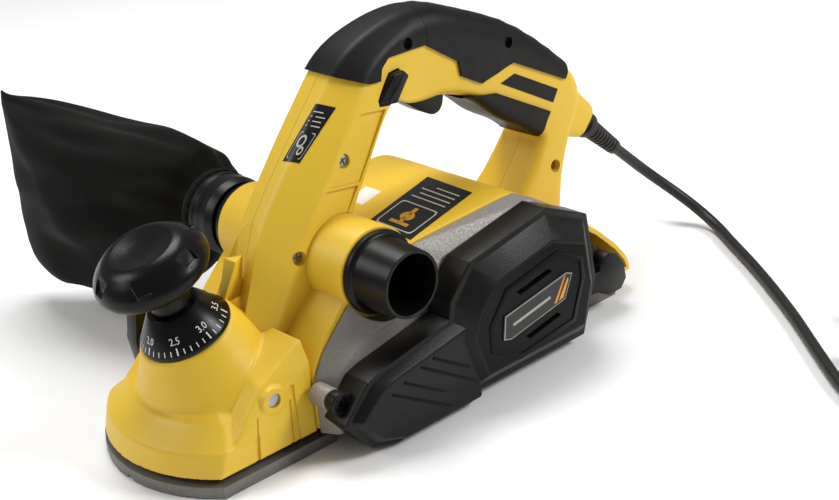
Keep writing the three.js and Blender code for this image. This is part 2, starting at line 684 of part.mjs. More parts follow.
place('drive_pulley', pulley(MOTOR_X, MOTOR_Z, DRIVE_PULLEY_RADIUS, 5.3), 'steel');
place('driven_pulley', pulley(DRUM_X, DRUM_Z, DRIVEN_PULLEY_RADIUS, 6.3), 'steel');

// Open loop round both pulleys: two arcs joined by their outer tangents.
function beltOutline(extra) {
  const dx = MOTOR_X - DRUM_X;
  const dz = MOTOR_Z - DRUM_Z;
  const heading = Math.atan2(dz, dx);
  const lean = Math.acos((DRIVEN_PULLEY_RADIUS - DRIVE_PULLEY_RADIUS) / Math.hypot(dx, dz));
  const points = [];
  const arc = (x, z, radius, from, to) => {
    for (let i = 0; i <= 12; i += 1) {
      const angle = from + ((to - from) * i) / 12;
      points.push([x + radius * Math.cos(angle), z + radius * Math.sin(angle)]);
    }
  };
  arc(MOTOR_X, MOTOR_Z, DRIVE_PULLEY_RADIUS + extra, heading - lean, heading + lean);
  arc(DRUM_X, DRUM_Z, DRIVEN_PULLEY_RADIUS + extra, heading + lean, heading - lean + 2 * Math.PI);
  return points;
}

const belt = cut(
  prism('y', beltOutline(2.2), BELT_FRONT + 1, BELT_BACK - 0.5),
  prism('y', beltOutline(0.4), BELT_FRONT - 1, BELT_BACK + 1),
);
place('drive_belt', belt, 'rubber');

// ---------------------------------------------------------------- belt cover
const HEX = [[-77, 44], [-66, 6], [36, 6], [48, 42], [42, 84], [6, 100], [-56, 88], [-72, 70]];
const HEX_FACE = [[-64, 44], [-55, 19], [27, 19], [34, 44], [30, 72], [2, 83], [-44, 74], [-58, 60]];
const LOBE = [[-154, 27], [-137, 6], [-119, 1.2], [-60, 1.2], [-58, 62], [-127, 49], [-136, 46]];
const LOBE_FACE = [[-146, 27], [-132, 12], [-116, 5.5], [-58, 5.5], [-58, 54], [-124, 43], [-131, 40]];
const LOBE_TOP = -92;
const REAR_SCREW_X = 34;
const REAR_SCREW_Z = 18;

function coverSolid(inset) {
  const flange = COVER_BACK - 18.5 + inset;
  const back = inset > 0 ? COVER_BACK + 1 : COVER_BACK;
  const hexBack = shrink(HEX, inset);
  const lobeBack = shrink(LOBE, inset);
  const hexRise = hull([...atY(hexBack, flange), ...atY(shrink(HEX_FACE, inset), COVER_FACE + inset)]);
  const lobeRise = hull([...atY(lobeBack, flange), ...atY(shrink(LOBE_FACE, inset), LOBE_TOP + inset)]);
  const bridge = inset > 0 ? [box(-80, -50, flange, back, 10, 48)] : [];
  const flanges = [hexBack, lobeBack].map((outline) => prism('y', outline, flange, back));
  return union(...flanges, hexRise, lobeRise, ...bridge);
}

function beltCover() {
  const ear = rod('y', EAR_X, EAR_Z, 7, -81, -73.3, 24);
  const bridge = hull([-80, -73.3].flatMap((y) => [
    ...atY(circle(EAR_X, EAR_Z, 6, 12), y),
    ...atY(circle(-140, 30, 8, 12), y),
  ]));
  const screwBore = rod('y', EAR_X, EAR_Z, 2.3, -90, -70, 12);
  const sink = rod('y', EAR_X, EAR_Z, 4.4, -82, -76.6, 16);
  const rearBore = rod('y', REAR_SCREW_X, REAR_SCREW_Z, 2.3, -100, -60, 12);
  const rearSink = rod('y', REAR_SCREW_X, REAR_SCREW_Z, 4.4, -100, -80, 16);
  const rearBoss = rod('y', REAR_SCREW_X, REAR_SCREW_Z, 6, -84, COVER_BACK, 16);
  const shell = cut(union(coverSolid(0), ear, bridge), coverSolid(2.5));
  const slots = [[-14, 61.5, 30], [-8, 30, 27]].map(([x, z, length]) => {
    const slot = box(-length / 2, length / 2, -1.2, 1.2, -1.6, 1.6);
    const geometry = geometryOf(slot);
    geometry.rotateY(-0.19);
    geometry.translate(x, COVER_FACE, z);
    return solidOf(geometry);
  });
  const earRoom = rod('y', EAR_X, EAR_Z, 6.5 + GAP, -73.3, COVER_BACK + 1, 24);
  return cut(union(cut(shell, earRoom), rearBoss), screwBore, sink, rearBore, rearSink, ...slots);
}

const NAME_PLATE = [[-43, 35], [9, 42], [16, 58], [-34, 51]];
place('belt_cover', beltCover(), 'black');
place('name_plate', prism('y', NAME_PLATE, COVER_FACE - 1.3, COVER_FACE - GAP), 'black');

// Pan head screw along +Y: the head from its top to its seat, then the shank to its end.
function coverScrew(x, z, top, seat, end) {
  return union(rod('y', x, z, 4, top, seat, 16), rod('y', x, z, 2, seat - 0.1, end, 12));
}

place('cover_screw_front', coverScrew(EAR_X, EAR_Z, -79.8, -76.9, -61), 'steel');
place('cover_screw_rear', coverScrew(REAR_SCREW_X, REAR_SCREW_Z, -83, -80.3, -68.6), 'steel');

// ---------------------------------------------------------------- chip outlets and dust bag
function tubeAlongY(sections) {
  const profile = [...sections, sections[0]];
  return revolve(profile, new THREE.Vector3(DUCT_X, 0, DUCT_Z), new THREE.Vector3(0, 1, 0), 36);
}

place('chip_outlet', tubeAlongY([
  [17, -86.3], [19.4, -86.3], [21.3, -60.5], [24.2, -60.2], [24.2, -BODY_HALF - GAP],
  [18.9, -BODY_HALF - GAP], [18.9, -48], [17, -48],
]), 'black');
place('far_chip_outlet', tubeAlongY([
  [17, 48], [18.9, 48], [18.9, BODY_HALF + GAP], [24.2, BODY_HALF + GAP], [24.2, 60.2], [21.3, 60.5],
  [20.4, 78], [17, 78],
]), 'black');
place('bag_adaptor', tubeAlongY([
  [21.6, 66], [22.8, 66], [24.4, 72], [24.4, 92], [22.4, 93], [22.4, 106],
  [20.4, 106], [20.4, 79], [21, 78.6],
]), 'black');

// Sections of the filled bag: middle (x, y, z), half thickness and half height.
const BAG_SECTIONS = [
  [DUCT_X, 93.5, DUCT_Z, 26, 26],
  [-101, 108, 87, 33, 40],
  [-110, 138, 84, 37, 53],
  [-124, 190, 81, 36, 61],
  [-138, 240, 85, 20, 60],
  [-143, 262, 88, 5, 57],
];

function dustBag() {
  const oval = ([x, y, z, thick, tall]) => circle(0, 0, 1, 16)
    .map(([a, b]) => new THREE.Vector3(x + thick * a, y, z + tall * b));
  const mouth = rod('y', DUCT_X, DUCT_Z, 22.8, 90, 107, 32);
  return cut(skin(BAG_SECTIONS.map(oval)), mouth);
}

place('dust_bag', dustBag(), 'fabric');

// ---------------------------------------------------------------- parking foot, fence knob, guide screw
const ARM_FACE = -71;
const ARM_BACK = PLATE_OUTER - GAP;

function parkingFoot() {
  const side = [[70, 16], [78, 11.5], [90, 12], [95, 18], [93, 29], [86, 38], [78, 41], [74, 39], [70, 34]];
  const arm = hull([ARM_FACE, ARM_BACK].flatMap((y) => [
    ...atY(circle(...FOOT_PIVOT, 6, 16), y),
    ...atY([[72, 17], [72, 31]], y),
  ]));
  return cut(union(prism('y', side, ARM_FACE, -59.5), arm), rod('y', ...FOOT_PIVOT, 3.3, -75, -55, 16));
}

place('parking_foot', parkingFoot(), 'black');
const pinShank = rod('y', ...FOOT_PIVOT, 3, -72, -61, 16);
const pinHead = rod('y', ...FOOT_PIVOT, 5, -73.5, -71.4, 16);
place('foot_pin', union(pinShank, pinHead), 'steel');
place('foot_stop', rod('y', 69.2, 44, 4.2, -66, -BODY_HALF - GAP, 16), 'black');

function fenceKnob() {
  const wingSide = [
    [GUIDE_X - 6, GUIDE_Z + 26], [GUIDE_X + 6, GUIDE_Z + 26], [GUIDE_X + 10, GUIDE_Z],
    [GUIDE_X + 6, GUIDE_Z - 24], [GUIDE_X - 6, GUIDE_Z - 24], [GUIDE_X - 10, GUIDE_Z],
  ];
  const hub = rod('y', GUIDE_X, GUIDE_Z, 9, 58.5, 74, 20);
  const wing = prism('y', wingSide, 62, 72);
  const stud = rod('y', GUIDE_X, GUIDE_Z, 3.8, 46, 60, 16);
  return union(hub, wing, stud);
}

place('fence_knob', fenceKnob(), 'black');
place('guide_screw', rod('y', GUIDE_X, GUIDE_Z, 3.9, -55, -47, 16), 'steel');

// ---------------------------------------------------------------- cord
function cordGuard() {
  const bore = CORD_RADIUS + GAP;
  const profile = [
    [bore, 51.7], [5.4, 51.7], [7, 16], [9, 15.5], [9, 10.5], [7, 10], [7, -10], [bore, -10], [bore, 51.7],
  ];
  return revolve(profile, CORD_EXIT, CORD_DIRECTION, 20);
}

const CORD_ROUTE = [
  [169, 0, 68.8], [180, 0, 59.5], [190.5, -0.8, 50.2], [200.5, -3, 41], [209.5, -7.2, 32.2],
  [216.8, -13.6, 24], [221.6, -22.2, 16.6], [223.2, -32.6, 10.4], [221.2, -44, 6.2], [215.6, -56, 4.3],
  [206, -70.5, 4], [184, -104, 4], [160, -138, 4], [135, -171, 4], [108, -204, 4], [84, -234, 4],
  [70, -256, 4], [62.8, -274, 4], [60.6, -292, 4],
];

function tube(points, radius, steps) {
  const corners = points.map((point) => new THREE.Vector3(...point));
  const curve = new THREE.CatmullRomCurve3(corners, false, 'centripetal');
  const section = new THREE.Shape(circle(0, 0, radius, 8).map(([a, b]) => new THREE.Vector2(a, b)));
  return solidOf(new THREE.ExtrudeGeometry(section, { extrudePath: curve, steps }));
}

function coilRing() {
  const inner = COIL_RADIUS - COIL_HALF_WIDTH;
  const outer = COIL_RADIUS + COIL_HALF_WIDTH;
  const section = [[inner, 0.2], [outer, 0.2], [outer, 23], [inner, 23], [inner, 0.2]];
  return revolve(section, new THREE.Vector3(COIL_X, COIL_Y, 0), new THREE.Vector3(0, 0, 1), 32);
}

// The plug lies beside the coil, where the last turn leaves it.
const PLUG_X = COIL_X + COIL_RADIUS + COIL_HALF_WIDTH - CORD_RADIUS;
const PLUG_Z = PLUG_RADIUS + 0.2;
const PLUG_START = COIL_Y + 32;
const PLUG_FACE = PLUG_START + 44;
const PIN_SPACING = 9.5;

function plugBody() {
  const profile = [[0, 0], [5, 0], [6.5, 12], [12, 16], [PLUG_RADIUS, 26], [PLUG_RADIUS, 44], [0, 44]];
  const start = new THREE.Vector3(PLUG_X, PLUG_START, PLUG_Z);
  const body = revolve(profile, start, new THREE.Vector3(0, 1, 0), 24);
  const bores = [-1, 1].map((side) => {
    const x = PLUG_X + side * PIN_SPACING;
    return rod('y', x, PLUG_Z, 2.7, PLUG_FACE - 9, PLUG_FACE + 1, 12);
  });
  return cut(body, ...bores);
}

place('cord_guard', cordGuard(), 'rubber');
place('power_cord', tube(CORD_ROUTE, CORD_RADIUS, 52), 'rubber');
place('cord_coil', coilRing(), 'rubber');
place('plug_body', plugBody(), 'rubber');
[-1, 1].forEach((side, index) => {
  const pin = rod('y', PLUG_X + side * PIN_SPACING, PLUG_Z, 2.4, PLUG_FACE - 8.7, PLUG_FACE + 19, 12);
  place(`plug_pin_${index + 1}`, pin, 'brass');
});

export default group;
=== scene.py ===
import math

import bmesh
import bpy
from mathutils import Matrix, Vector
from mathutils.bvhtree import BVHTree


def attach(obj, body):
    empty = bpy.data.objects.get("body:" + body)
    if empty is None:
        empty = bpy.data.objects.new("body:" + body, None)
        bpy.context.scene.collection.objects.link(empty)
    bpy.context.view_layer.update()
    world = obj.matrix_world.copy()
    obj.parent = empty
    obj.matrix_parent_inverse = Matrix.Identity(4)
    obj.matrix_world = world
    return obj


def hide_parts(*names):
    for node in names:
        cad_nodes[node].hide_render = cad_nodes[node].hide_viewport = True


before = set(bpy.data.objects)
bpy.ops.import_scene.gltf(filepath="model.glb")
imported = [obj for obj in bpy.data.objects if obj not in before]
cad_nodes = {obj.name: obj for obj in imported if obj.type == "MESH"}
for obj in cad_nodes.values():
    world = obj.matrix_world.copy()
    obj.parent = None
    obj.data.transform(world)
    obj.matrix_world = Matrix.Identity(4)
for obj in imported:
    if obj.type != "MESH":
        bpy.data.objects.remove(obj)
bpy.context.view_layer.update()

MM = 0.001


# ---------------------------------------------------------------- camera
# A long lens looks down at the toe from the belt side, rolled a few degrees.
def add_camera():
    azimuth, elevation, roll = (math.radians(a) for a in (-41.03, 23.75, 4.77))
    level = math.cos(elevation)
    back = Vector((math.sin(azimuth) * level, -math.cos(azimuth) * level, math.sin(elevation)))
    right = (-back).cross(Vector((0, 0, 1))).normalized()
    up = right.cross(-back)
    across = right * math.cos(roll) - up * math.sin(roll)
    upright = right * math.sin(roll) + up * math.cos(roll)
    data = bpy.data.cameras.new("camera")
    data.sensor_width = 36
    data.lens = 64.36
    camera = bpy.data.objects.new("camera", data)
    bpy.context.scene.collection.objects.link(camera)
    target = Vector((-0.0163, 0, 0.0576))
    camera.matrix_world = Matrix.Translation(target + back * 0.9265) @ Matrix(
        (across, upright, back)).transposed().to_4x4()
    bpy.context.scene.camera = camera


add_camera()
bpy.context.scene.view_settings.view_transform = "Standard"


# ---------------------------------------------------------------- mains lead
# Two-core lead in a black rubber sheath, extruded, 7.5 mm across and 2.5 m long. It drops from the
# handle to the table, and what is left is wound into a coil that a hook-and-loop strap holds.
def linear(code, alpha=1.0):
    """sRGB hex code to a linear colour."""
    parts = [int(code[i:i + 2], 16) / 255 for i in (0, 2, 4)]
    return (*(c / 12.92 if c <= 0.04045 else ((c + 0.055) / 1.055) ** 2.4 for c in parts), alpha)


def add(tree, kind, settings=None, inputs=None):
    """Adds a node, sets its properties, and sets or links its inputs."""
    made = tree.nodes.new(kind)
    for name, value in (settings or {}).items():
        setattr(made, name, value)
    for key, value in (inputs or {}).items():
        if isinstance(value, bpy.types.NodeSocket):
            tree.links.new(value, made.inputs[key])
        else:
            made.inputs[key].default_value = value
    return made


def surface(
        name, colours, patch_mm, roughness, grain_mm, depth_mm, spread=0.06, metallic=0.0, ior=1.5,
        gleam=0.4):
    """A moulded, cast or machined surface: two close colours in soft patches under a fine relief."""
    material = bpy.data.materials.new(name)
    material.use_nodes = True
    tree = material.node_tree
    tree.nodes.clear()
    place = add(tree, "ShaderNodeTexCoord").outputs["Object"]
    patches = add(tree, "ShaderNodeTexNoise", inputs={
        "Vector": place, "Scale": 1 / (patch_mm * MM), "Detail": 3, "Roughness": 0.55})
    grain = add(tree, "ShaderNodeTexNoise", inputs={
        "Vector": place, "Scale": 1 / (grain_mm * MM), "Detail": 2, "Roughness": 0.5})
    colour = add(tree, "ShaderNodeMix", {"data_type": "RGBA"}, {
        0: patches.outputs["Fac"], 6: linear(colours[0]), 7: linear(colours[1])})
    sheen = add(tree, "ShaderNodeMapRange", inputs={
        "Value": grain.outputs["Fac"], "From Min": 0.3, "From Max": 0.7,
        "To Min": roughness - spread, "To Max": roughness + spread})
    relief = add(tree, "ShaderNodeBump", inputs={
        "Height": grain.outputs["Fac"], "Strength": 1.0, "Distance": depth_mm * MM})
    shader = add(tree, "ShaderNodeBsdfPrincipled", inputs={
        "Base Color": colour.outputs[2], "Roughness": sheen.outputs[0], "Normal": relief.outputs[0],
        "Metallic": metallic, "IOR": ior, "Specular IOR Level": gleam})
    add(tree, "ShaderNodeOutputMaterial", inputs={"Surface": shader.outputs[0]})
    return material


def new_piece(name, points, faces, material):
    """A piece from points in millimetres."""
    mesh = bpy.data.meshes.new(name)
    mesh.from_pydata([Vector(p) * MM for p in points], [], faces)
    mesh.materials.append(material)
    piece = bpy.data.objects.new(name, mesh)
    bpy.context.scene.collection.objects.link(piece)
    return piece


def smooth(piece, angle=32):
    """Outward normals, smooth faces, and sharp edges where faces meet at more than the angle."""
    mesh = piece.data
    work = bmesh.new()
    work.from_mesh(mesh)
    bmesh.ops.remove_doubles(work, verts=work.verts, dist=1e-6)
    bmesh.ops.recalc_face_normals(work, faces=work.faces)
    for face in work.faces:
        face.smooth = True
    for edge in work.edges:
        edge.smooth = len(edge.link_faces) == 2 and edge.calc_face_angle(0) < math.radians(angle)
    work.to_mesh(mesh)
    work.free()
    return piece


def loft_faces(rings, count, closed_ends=True, closed_row=False):
    """Faces of a skin through rings of equal point counts."""
    faces = []
    for row in range(rings if closed_row else rings - 1):
        for i in range(count):
            a = row * count + i
            b = row * count + (i + 1) % count
            c = (row + 1) % rings * count
            faces.append((a, b, c + (i + 1) % count, c + i))
    if closed_ends and not closed_row:
        faces.append(tuple(range(count))[::-1])
        faces.append(tuple((rings - 1) * count + i for i in range(count)))
    return faces


def through(points, steps):
    """Points on a smooth line through the given rows of numbers."""
    line = []
    for i in range(len(points) - 1):
        before, here, there, after = (
            points[max(i - 1, 0)], points[i], points[i + 1], points[min(i + 2, len(points) - 1)])
        for step in range(steps):
            t = step / steps
            line.append([
                0.5 * (2 * b + (c - a) * t
                       + (2 * a - 5 * b + 4 * c - d) * t * t + (3 * b - a - 3 * c + d) * t ** 3)
                for a, b, c, d in zip(before, here, there, after)])
    line.append(list(points[-1]))
    return line


def tube(name, line, radius, sides, material):
    """A round tube along a line of points in millimetres, closed flat at both ends."""
    line = [Vector(p) for p in line]
    last = len(line) - 1
    headings = [(line[min(i + 1, last)] - line[max(i - 1, 0)]).normalized() for i in range(len(line))]
    across = headings[0].orthogonal().normalized()
    rings = []
    for point, heading in zip(line, headings):
        across = (across - heading * across.dot(heading)).normalized()
        over = heading.cross(across)
        for i in range(sides):
            turn = 2 * math.pi * i / sides
            rings.append(point + (across * math.cos(turn) + over * math.sin(turn)) * radius)
    return new_piece(name, rings, loft_faces(len(line), sides), material)


rubber_sheath = surface(
    "rubber_extruded_sheath", ("151413", "1f1d1b"), 9, 0.46, 0.5, 0.05)

CORD_RADIUS = 3.75
CORD_EXIT = Vector((129, 0, 103))
CORD_HEADING = Vector((0.76, 0, -0.65)).normalized()
CORD_START = CORD_EXIT + CORD_HEADING * 12
CORD_ROUTE = [
    (169, 0, 68.8), (180, 0, 59.5), (190.5, -0.8, 50.2), (200.5, -3, 41), (209.5, -7.2, 32.2),
    (216.8, -13.6, 24), (221.6, -22.2, 16.6), (223.2, -32.6, 10.4), (221.2, -44, 6.2), (215.6, -56, 4.3),
    (206, -70.5, 4), (184, -104, 4), (160, -138, 4), (135, -171, 4), (108, -204, 4), (84, -234, 4),
    (70, -256, 4), (62.8, -274, 4.2)]
COIL_CENTRE = (122, -290)
COIL_PLACES = [(53.2, 5), (45.6, 5), (38, 5), (38, 12.7), (45.6, 12.7), (53.2, 12.7)]
COIL_END = (53.25, 19.6)
PER_TURN = 24


def coil_line():
    """Half a turn inwards to the coil, then one turn in each place, and out at the plug's height."""
    line = []
    for i in range(PER_TURN // 2):
        ease = i / (PER_TURN // 2)
        line.append((math.pi * (1 + ease), 61.3 - 8.1 * ease ** 0.8, 4.6 + 0.4 * ease))
    for turn, (radius, height) in enumerate(COIL_PLACES):
        after = (COIL_PLACES + [COIL_END])[turn + 1]
        for i in range(PER_TURN):
            ease = min(1, max(0, (i / PER_TURN - 0.55) / 0.45))
            ease = ease * ease * (3 - 2 * ease)
            line.append((
                2 * math.pi * i / PER_TURN, radius + (after[0] - radius) * ease,
                height + (after[1] - height) * ease))
    return [(COIL_CENTRE[0] + r * math.cos(a), COIL_CENTRE[1] + r * math.sin(a), z) for a, r, z in line]


PLUG_AXIS = (175.25, 18.2)
PLUG_START = -258
plug_way = [(PLUG_AXIS[0], y, z) for y, z in ((-290, 19.6), (-279, 19), (-268, 18.4), (PLUG_START + 2, 18.2))]
cord_points = [
    tuple(CORD_START), tuple((CORD_START + Vector(CORD_ROUTE[0])) / 2), *CORD_ROUTE, *coil_line(), *plug_way]
power_lead = smooth(tube("power_lead", through(cord_points, 4), CORD_RADIUS, 14, rubber_sheath), 60)

# The strap that holds the coil: one closed loop of hook-and-loop tape.
woven_tape = surface("woven_nylon_tape", ("20201f", "2c2b2a"), 3, 0.85, 0.7, 0.12)
STRAP_HALF_WIDTH = 6
strap_outline = []
for y, z, corner in ((33, 0.75, 180), (58.5, 0.75, 270), (58.5, 24, 0), (33, 24, 90)):
    for step in range(5):
        turn = math.radians(corner + 22.5 * step)
        strap_outline.append((y + 1.6 * math.cos(turn), z + (0.6 if z < 9 else 1.6) * math.sin(turn)))
strap_rings = [
    (COIL_CENTRE[0] + side * STRAP_HALF_WIDTH, COIL_CENTRE[1] + y, z)
    for side in (-1, 1) for y, z in strap_outline]
coil_strap = new_piece("coil_strap", strap_rings, loft_faces(2, len(strap_outline), False), woven_tape)
coil_strap.modifiers.new("tape", "SOLIDIFY").thickness = 0.5 * MM
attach(coil_strap, "machine")


# ---------------------------------------------------------------- cord guard and plug
# Soft PVC strain relief with cut rings, moulded on the lead, and a round two-pin plug with brass pins.
def settle(piece):
    """Turns the modifiers' result into the mesh."""
    graph = bpy.context.evaluated_depsgraph_get()
    mesh = bpy.data.meshes.new_from_object(piece.evaluated_get(graph), depsgraph=graph)
    piece.modifiers.clear()
    piece.data = mesh
    return piece


def soften(piece, width, segments=3, angle=28):
    """Rounds the edges between faces that meet at more than the angle."""
    smooth(piece, 180)
    bevel = piece.modifiers.new("edges", "BEVEL")
    bevel.width = width * MM
    bevel.segments = segments
    bevel.limit_method = "ANGLE"
    bevel.angle_limit = math.radians(angle)
    return settle(piece)


def lathe(name, profile, base, axis, material, count=48):
    """A turned piece: (radius, height) pairs round an axis. A pair with radius 0 closes the pole."""
    axis = Vector(axis).normalized()
    base = Vector(base)
    across = Vector((0, 1, 0)) if abs(axis.y) < 0.9 else Vector((1, 0, 0))
    over = axis.cross(across).normalized()
    across = over.cross(axis)
    points = []
    for radius, height in profile:
        for i in range(count):
            turn = 2 * math.pi * i / count
            points.append(base + axis * height + (across * math.cos(turn) + over * math.sin(turn)) * radius)
    ends_closed = profile[0][0] == 0
    return new_piece(name, points, loft_faces(len(profile), count, False, not ends_closed), material)


def eased(profile, radius, steps=3):
    """The profile with its corners rounded, ends kept."""
    rounded = [profile[0]]
    for i in range(1, len(profile) - 1):
        before, here, after = (Vector(profile[k]) for k in (i - 1, i, i + 1))
        reach = min(radius, 0.45 * (before - here).length, 0.45 * (after - here).length)
        start = here + (before - here).normalized() * reach
        end = here + (after - here).normalized() * reach
        for step in range(steps + 1):
            t = step / steps
            rounded.append(tuple(start * (1 - t) ** 2 + here * 2 * t * (1 - t) + end * t * t))
    rounded.append(profile[-1])
    return rounded


soft_pvc = surface("pvc_soft_moulded", ("191817", "232120"), 6, 0.5, 0.4, 0.04)
brass_turned = surface("brass_turned_pin", ("c49a45", "d3ad5c"), 5, 0.28, 0.3, 0.01, 0.05, 1.0)

guard_profile = [(4.0, 52), (5.2, 52)]
for step in range(9):
    height = 48.5 - 3.6 * step
    radius = 5.4 + (52 - height) * 0.045
    guard_profile += [
        (radius, height), (radius, height - 1.9), (radius - 0.9, height - 2.1), (radius - 0.9, height - 3.4)]
guard_profile += [(7, 15.8), (9, 15.4), (9, 10.6), (7, 10.2), (7, -9), (4.0, -9)]
cord_guard = smooth(lathe(
    "strain_relief", eased(guard_profile, 0.5), CORD_EXIT, CORD_HEADING, soft_pvc, 40), 40)
plug_profile = [(0, 0), (4.9, 0), (5.2, 8), (7, 12), (12, 16), (17.4, 26), (17.8, 40), (16, 44), (0, 44)]
plug = smooth(lathe(
    "plug_moulding", eased(plug_profile, 2), (PLUG_AXIS[0], PLUG_START, PLUG_AXIS[1]), (0, 1, 0), soft_pvc),
    40)
pin_profile = [(0, 34), (2.4, 34), (2.4, 61), (1.2, 63), (0, 63)]
plug_pins = [
    smooth(lathe(
        f"plug_contact_{k}", eased(pin_profile, 0.8), (PLUG_AXIS[0] + x, PLUG_START, PLUG_AXIS[1]), (0, 1, 0),
        brass_turned, 20))
    for k, x in ((1, -9.5), (2, 9.5))]
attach(power_lead, "machine")
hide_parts("power_cord", "cord_coil")
REPLACED = {"power_cord", "cord_coil"}
for piece, node, slot in (
        (cord_guard, "cord_guard", "cord_rubber"), (plug, "plug_body", "cord_rubber"),
        (plug_pins[0], "plug_pin_1", "brass"), (plug_pins[1], "plug_pin_2", "brass")):
    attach(piece, "machine")
    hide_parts(node)
    REPLACED.add(node)


# ---------------------------------------------------------------- floor and light
# White paper floor under large softboxes: a key over the right shoulder, a fill and a top panel.
def add_light(name, place, target, size, power, colour="ffffff"):
    data = bpy.data.lights.new(name, "AREA")
    data.size = size
    data.energy = power
    data.color = linear(colour)[:3]
    lamp = bpy.data.objects.new(name, data)
    bpy.context.scene.collection.objects.link(lamp)
    lamp.location = place
    lamp.rotation_euler = (Vector(target) - Vector(place)).to_track_quat("-Z", "Y").to_euler()


paper = surface("paper_matt_white", ("fbfbfa", "ffffff"), 400, 0.9, 2, 0.02)
floor = new_piece("floor", [(-4000, -4000, -0.1), (4000, -4000, -0.1), (4000, 4000, -0.1),
    (-4000, 4000, -0.1)],
                  [(0, 1, 2, 3)], paper)
add_light("key", (0.75, -1.1, 1.05), (-0.05, 0, 0.08), 0.5, 16)
add_light("top", (0.15, 0.5, 1.6), (-0.05, 0.2, 0), 0.8, 18)
add_light("fill", (-1.3, 0.7, 1.1), (-0.35, 0.1, 0), 0.7, 9)
world = bpy.data.worlds.new("studio")
world.use_nodes = True
world.node_tree.nodes["Background"].inputs["Color"].default_value = linear("ffffff")
world.node_tree.nodes["Background"].inputs["Strength"].default_value = 0.24
bpy.context.scene.world = world


# ---------------------------------------------------------------- soles
# Die-cast aluminium shoes, milled flat below and painted grey at the sides. The front one has a
# chamfering groove and rides on the depth spindle; the rear one is screwed under the casting.
def softened_copy(node, name, material, width, angle=28):
    """A copy of a CAD solid with its flat faces joined and its edges rounded."""
    piece = bpy.data.objects.new(name, cad_nodes[node].data.copy())
    bpy.context.scene.collection.objects.link(piece)
    piece.data.materials.clear()
    piece.data.materials.append(material)
    work = bmesh.new()
    work.from_mesh(piece.data)
    bmesh.ops.remove_doubles(work, verts=work.verts, dist=1e-6)
    bmesh.ops.dissolve_limit(
        work, angle_limit=math.radians(1), verts=work.verts, edges=work.edges, delimit={"NORMAL"})
    for face in work.faces:
        face.material_index = 0
    work.to_mesh(piece.data)
    work.free()
    if width:
        soften(piece, width, 2, angle)
    return smooth(piece, 35)


def stand_for(piece, body, slot, *nodes):
    REPLACED.update(nodes)
    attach(piece, body)
    if nodes:
        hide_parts(*nodes)
    return piece


sole_alloy = surface("aluminium_die_cast_shot_blasted", ("6f6c68", "87837e"), 3, 0.5, 0.9, 0.1, 0.1, 0.55)
stand_for(softened_copy("front_shoe", "front_sole_shoe", sole_alloy, 0.5), "front_sole", "cast_alloy",
    "front_shoe")
stand_for(softened_copy("rear_shoe", "rear_sole_shoe", sole_alloy, 0.6), "machine", "cast_alloy", "rear_shoe")


# ---------------------------------------------------------------- frame casting and bearing plate
# Sand-textured aluminium die casting that carries the bearings and the belt drive, painted grey; a
# smaller plate carries the far end of the cutter drum.
def boolean(piece, operation, tools):
    for tool in tools:
        step = piece.modifiers.new("cut", "BOOLEAN")
        step.operation = operation
        step.solver = "MANIFOLD"
        step.object = tool
    settle(piece)
    for tool in tools:
        bpy.data.objects.remove(tool)
    return piece


def cut(piece, *tools):
    return boolean(piece, "DIFFERENCE", tools)


def join(piece, *others):
    return boolean(piece, "UNION", others)


def keep(piece, region):
    return boolean(piece, "INTERSECT", [region])


def prism(outline, low, high, material, axis="y", name="tool"):
    """A prism of an outline: (x, z) pairs for axis y, (x, y) pairs for axis z."""
    points = [(a, h, b) if axis == "y" else (a, b, h) for h in (low, high) for a, b in outline]
    return smooth(new_piece(name, points, loft_faces(2, len(outline)), material))


def circle(x, z, radius, count=32):
    turns = [2 * math.pi * (i + 0.5) / count for i in range(count)]
    return [(x + radius * math.cos(turn), z + radius * math.sin(turn)) for turn in turns]


def rod(x, z, radius, low, high, material, count=32):
    return prism(circle(x, z, radius, count), low, high, material)


def block(x0, x1, y0, y1, z0, z1, material, name="tool"):
    return prism([(x0, y0), (x1, y0), (x1, y1), (x0, y1)], z0, z1, material, "z", name)


def hull(points, material, name="tool"):
    """The convex solid round the points, its flat faces whole."""
    piece = new_piece(name, points, [], material)
    work = bmesh.new()
    work.from_mesh(piece.data)
    result = bmesh.ops.convex_hull(work, input=work.verts)
    inner = {g for g in result["geom_interior"] + result["geom_unused"] if isinstance(g, bmesh.types.BMVert)}
    bmesh.ops.delete(work, geom=list(inner), context="VERTS")
    bmesh.ops.dissolve_limit(work, angle_limit=math.radians(1.5), verts=work.verts, edges=work.edges)
    work.to_mesh(piece.data)
    work.free()
    return smooth(piece)


def at(outline, y):
    return [(x, y, z) for x, z in outline]


cast_alloy = surface("aluminium_sand_textured_paint", ("6f6b66", "aaa6a0"), 0.9, 0.5, 0.75, 0.22, 0.12, 0.4)
PLATE_BACK = [
    (-150, 9), (62, 9), (64, 66), (52, 77), (27, 92), (8, 102), (-73, 97), (-118, 82), (-142, 58), (-150, 44)]
PLATE_FRONT = [
    (-144, 9), (58, 9), (60, 66), (49, 74), (18, 97), (-48, 85), (-65, 66), (-129, 55), (-141, 46)]
DRUM = (-121, 24)
MOTOR = (-5, 52)
DUCT = (-98.4, 89.9)
EAR = (-150, 37)
FOOT_PIVOT = (54, 24)
casting = soften(hull(at(PLATE_BACK, -57.3) + at(PLATE_FRONT, -68), cast_alloy, "frame_casting_body"), 1.6)
ear_boss = soften(rod(*EAR, 6.5, -73, -60, cast_alloy, 40), 0.5)
casting_floor = block(-98, 104, -58.3, 56.5, 8.3, 11.3, cast_alloy)
join(casting, ear_boss, casting_floor)
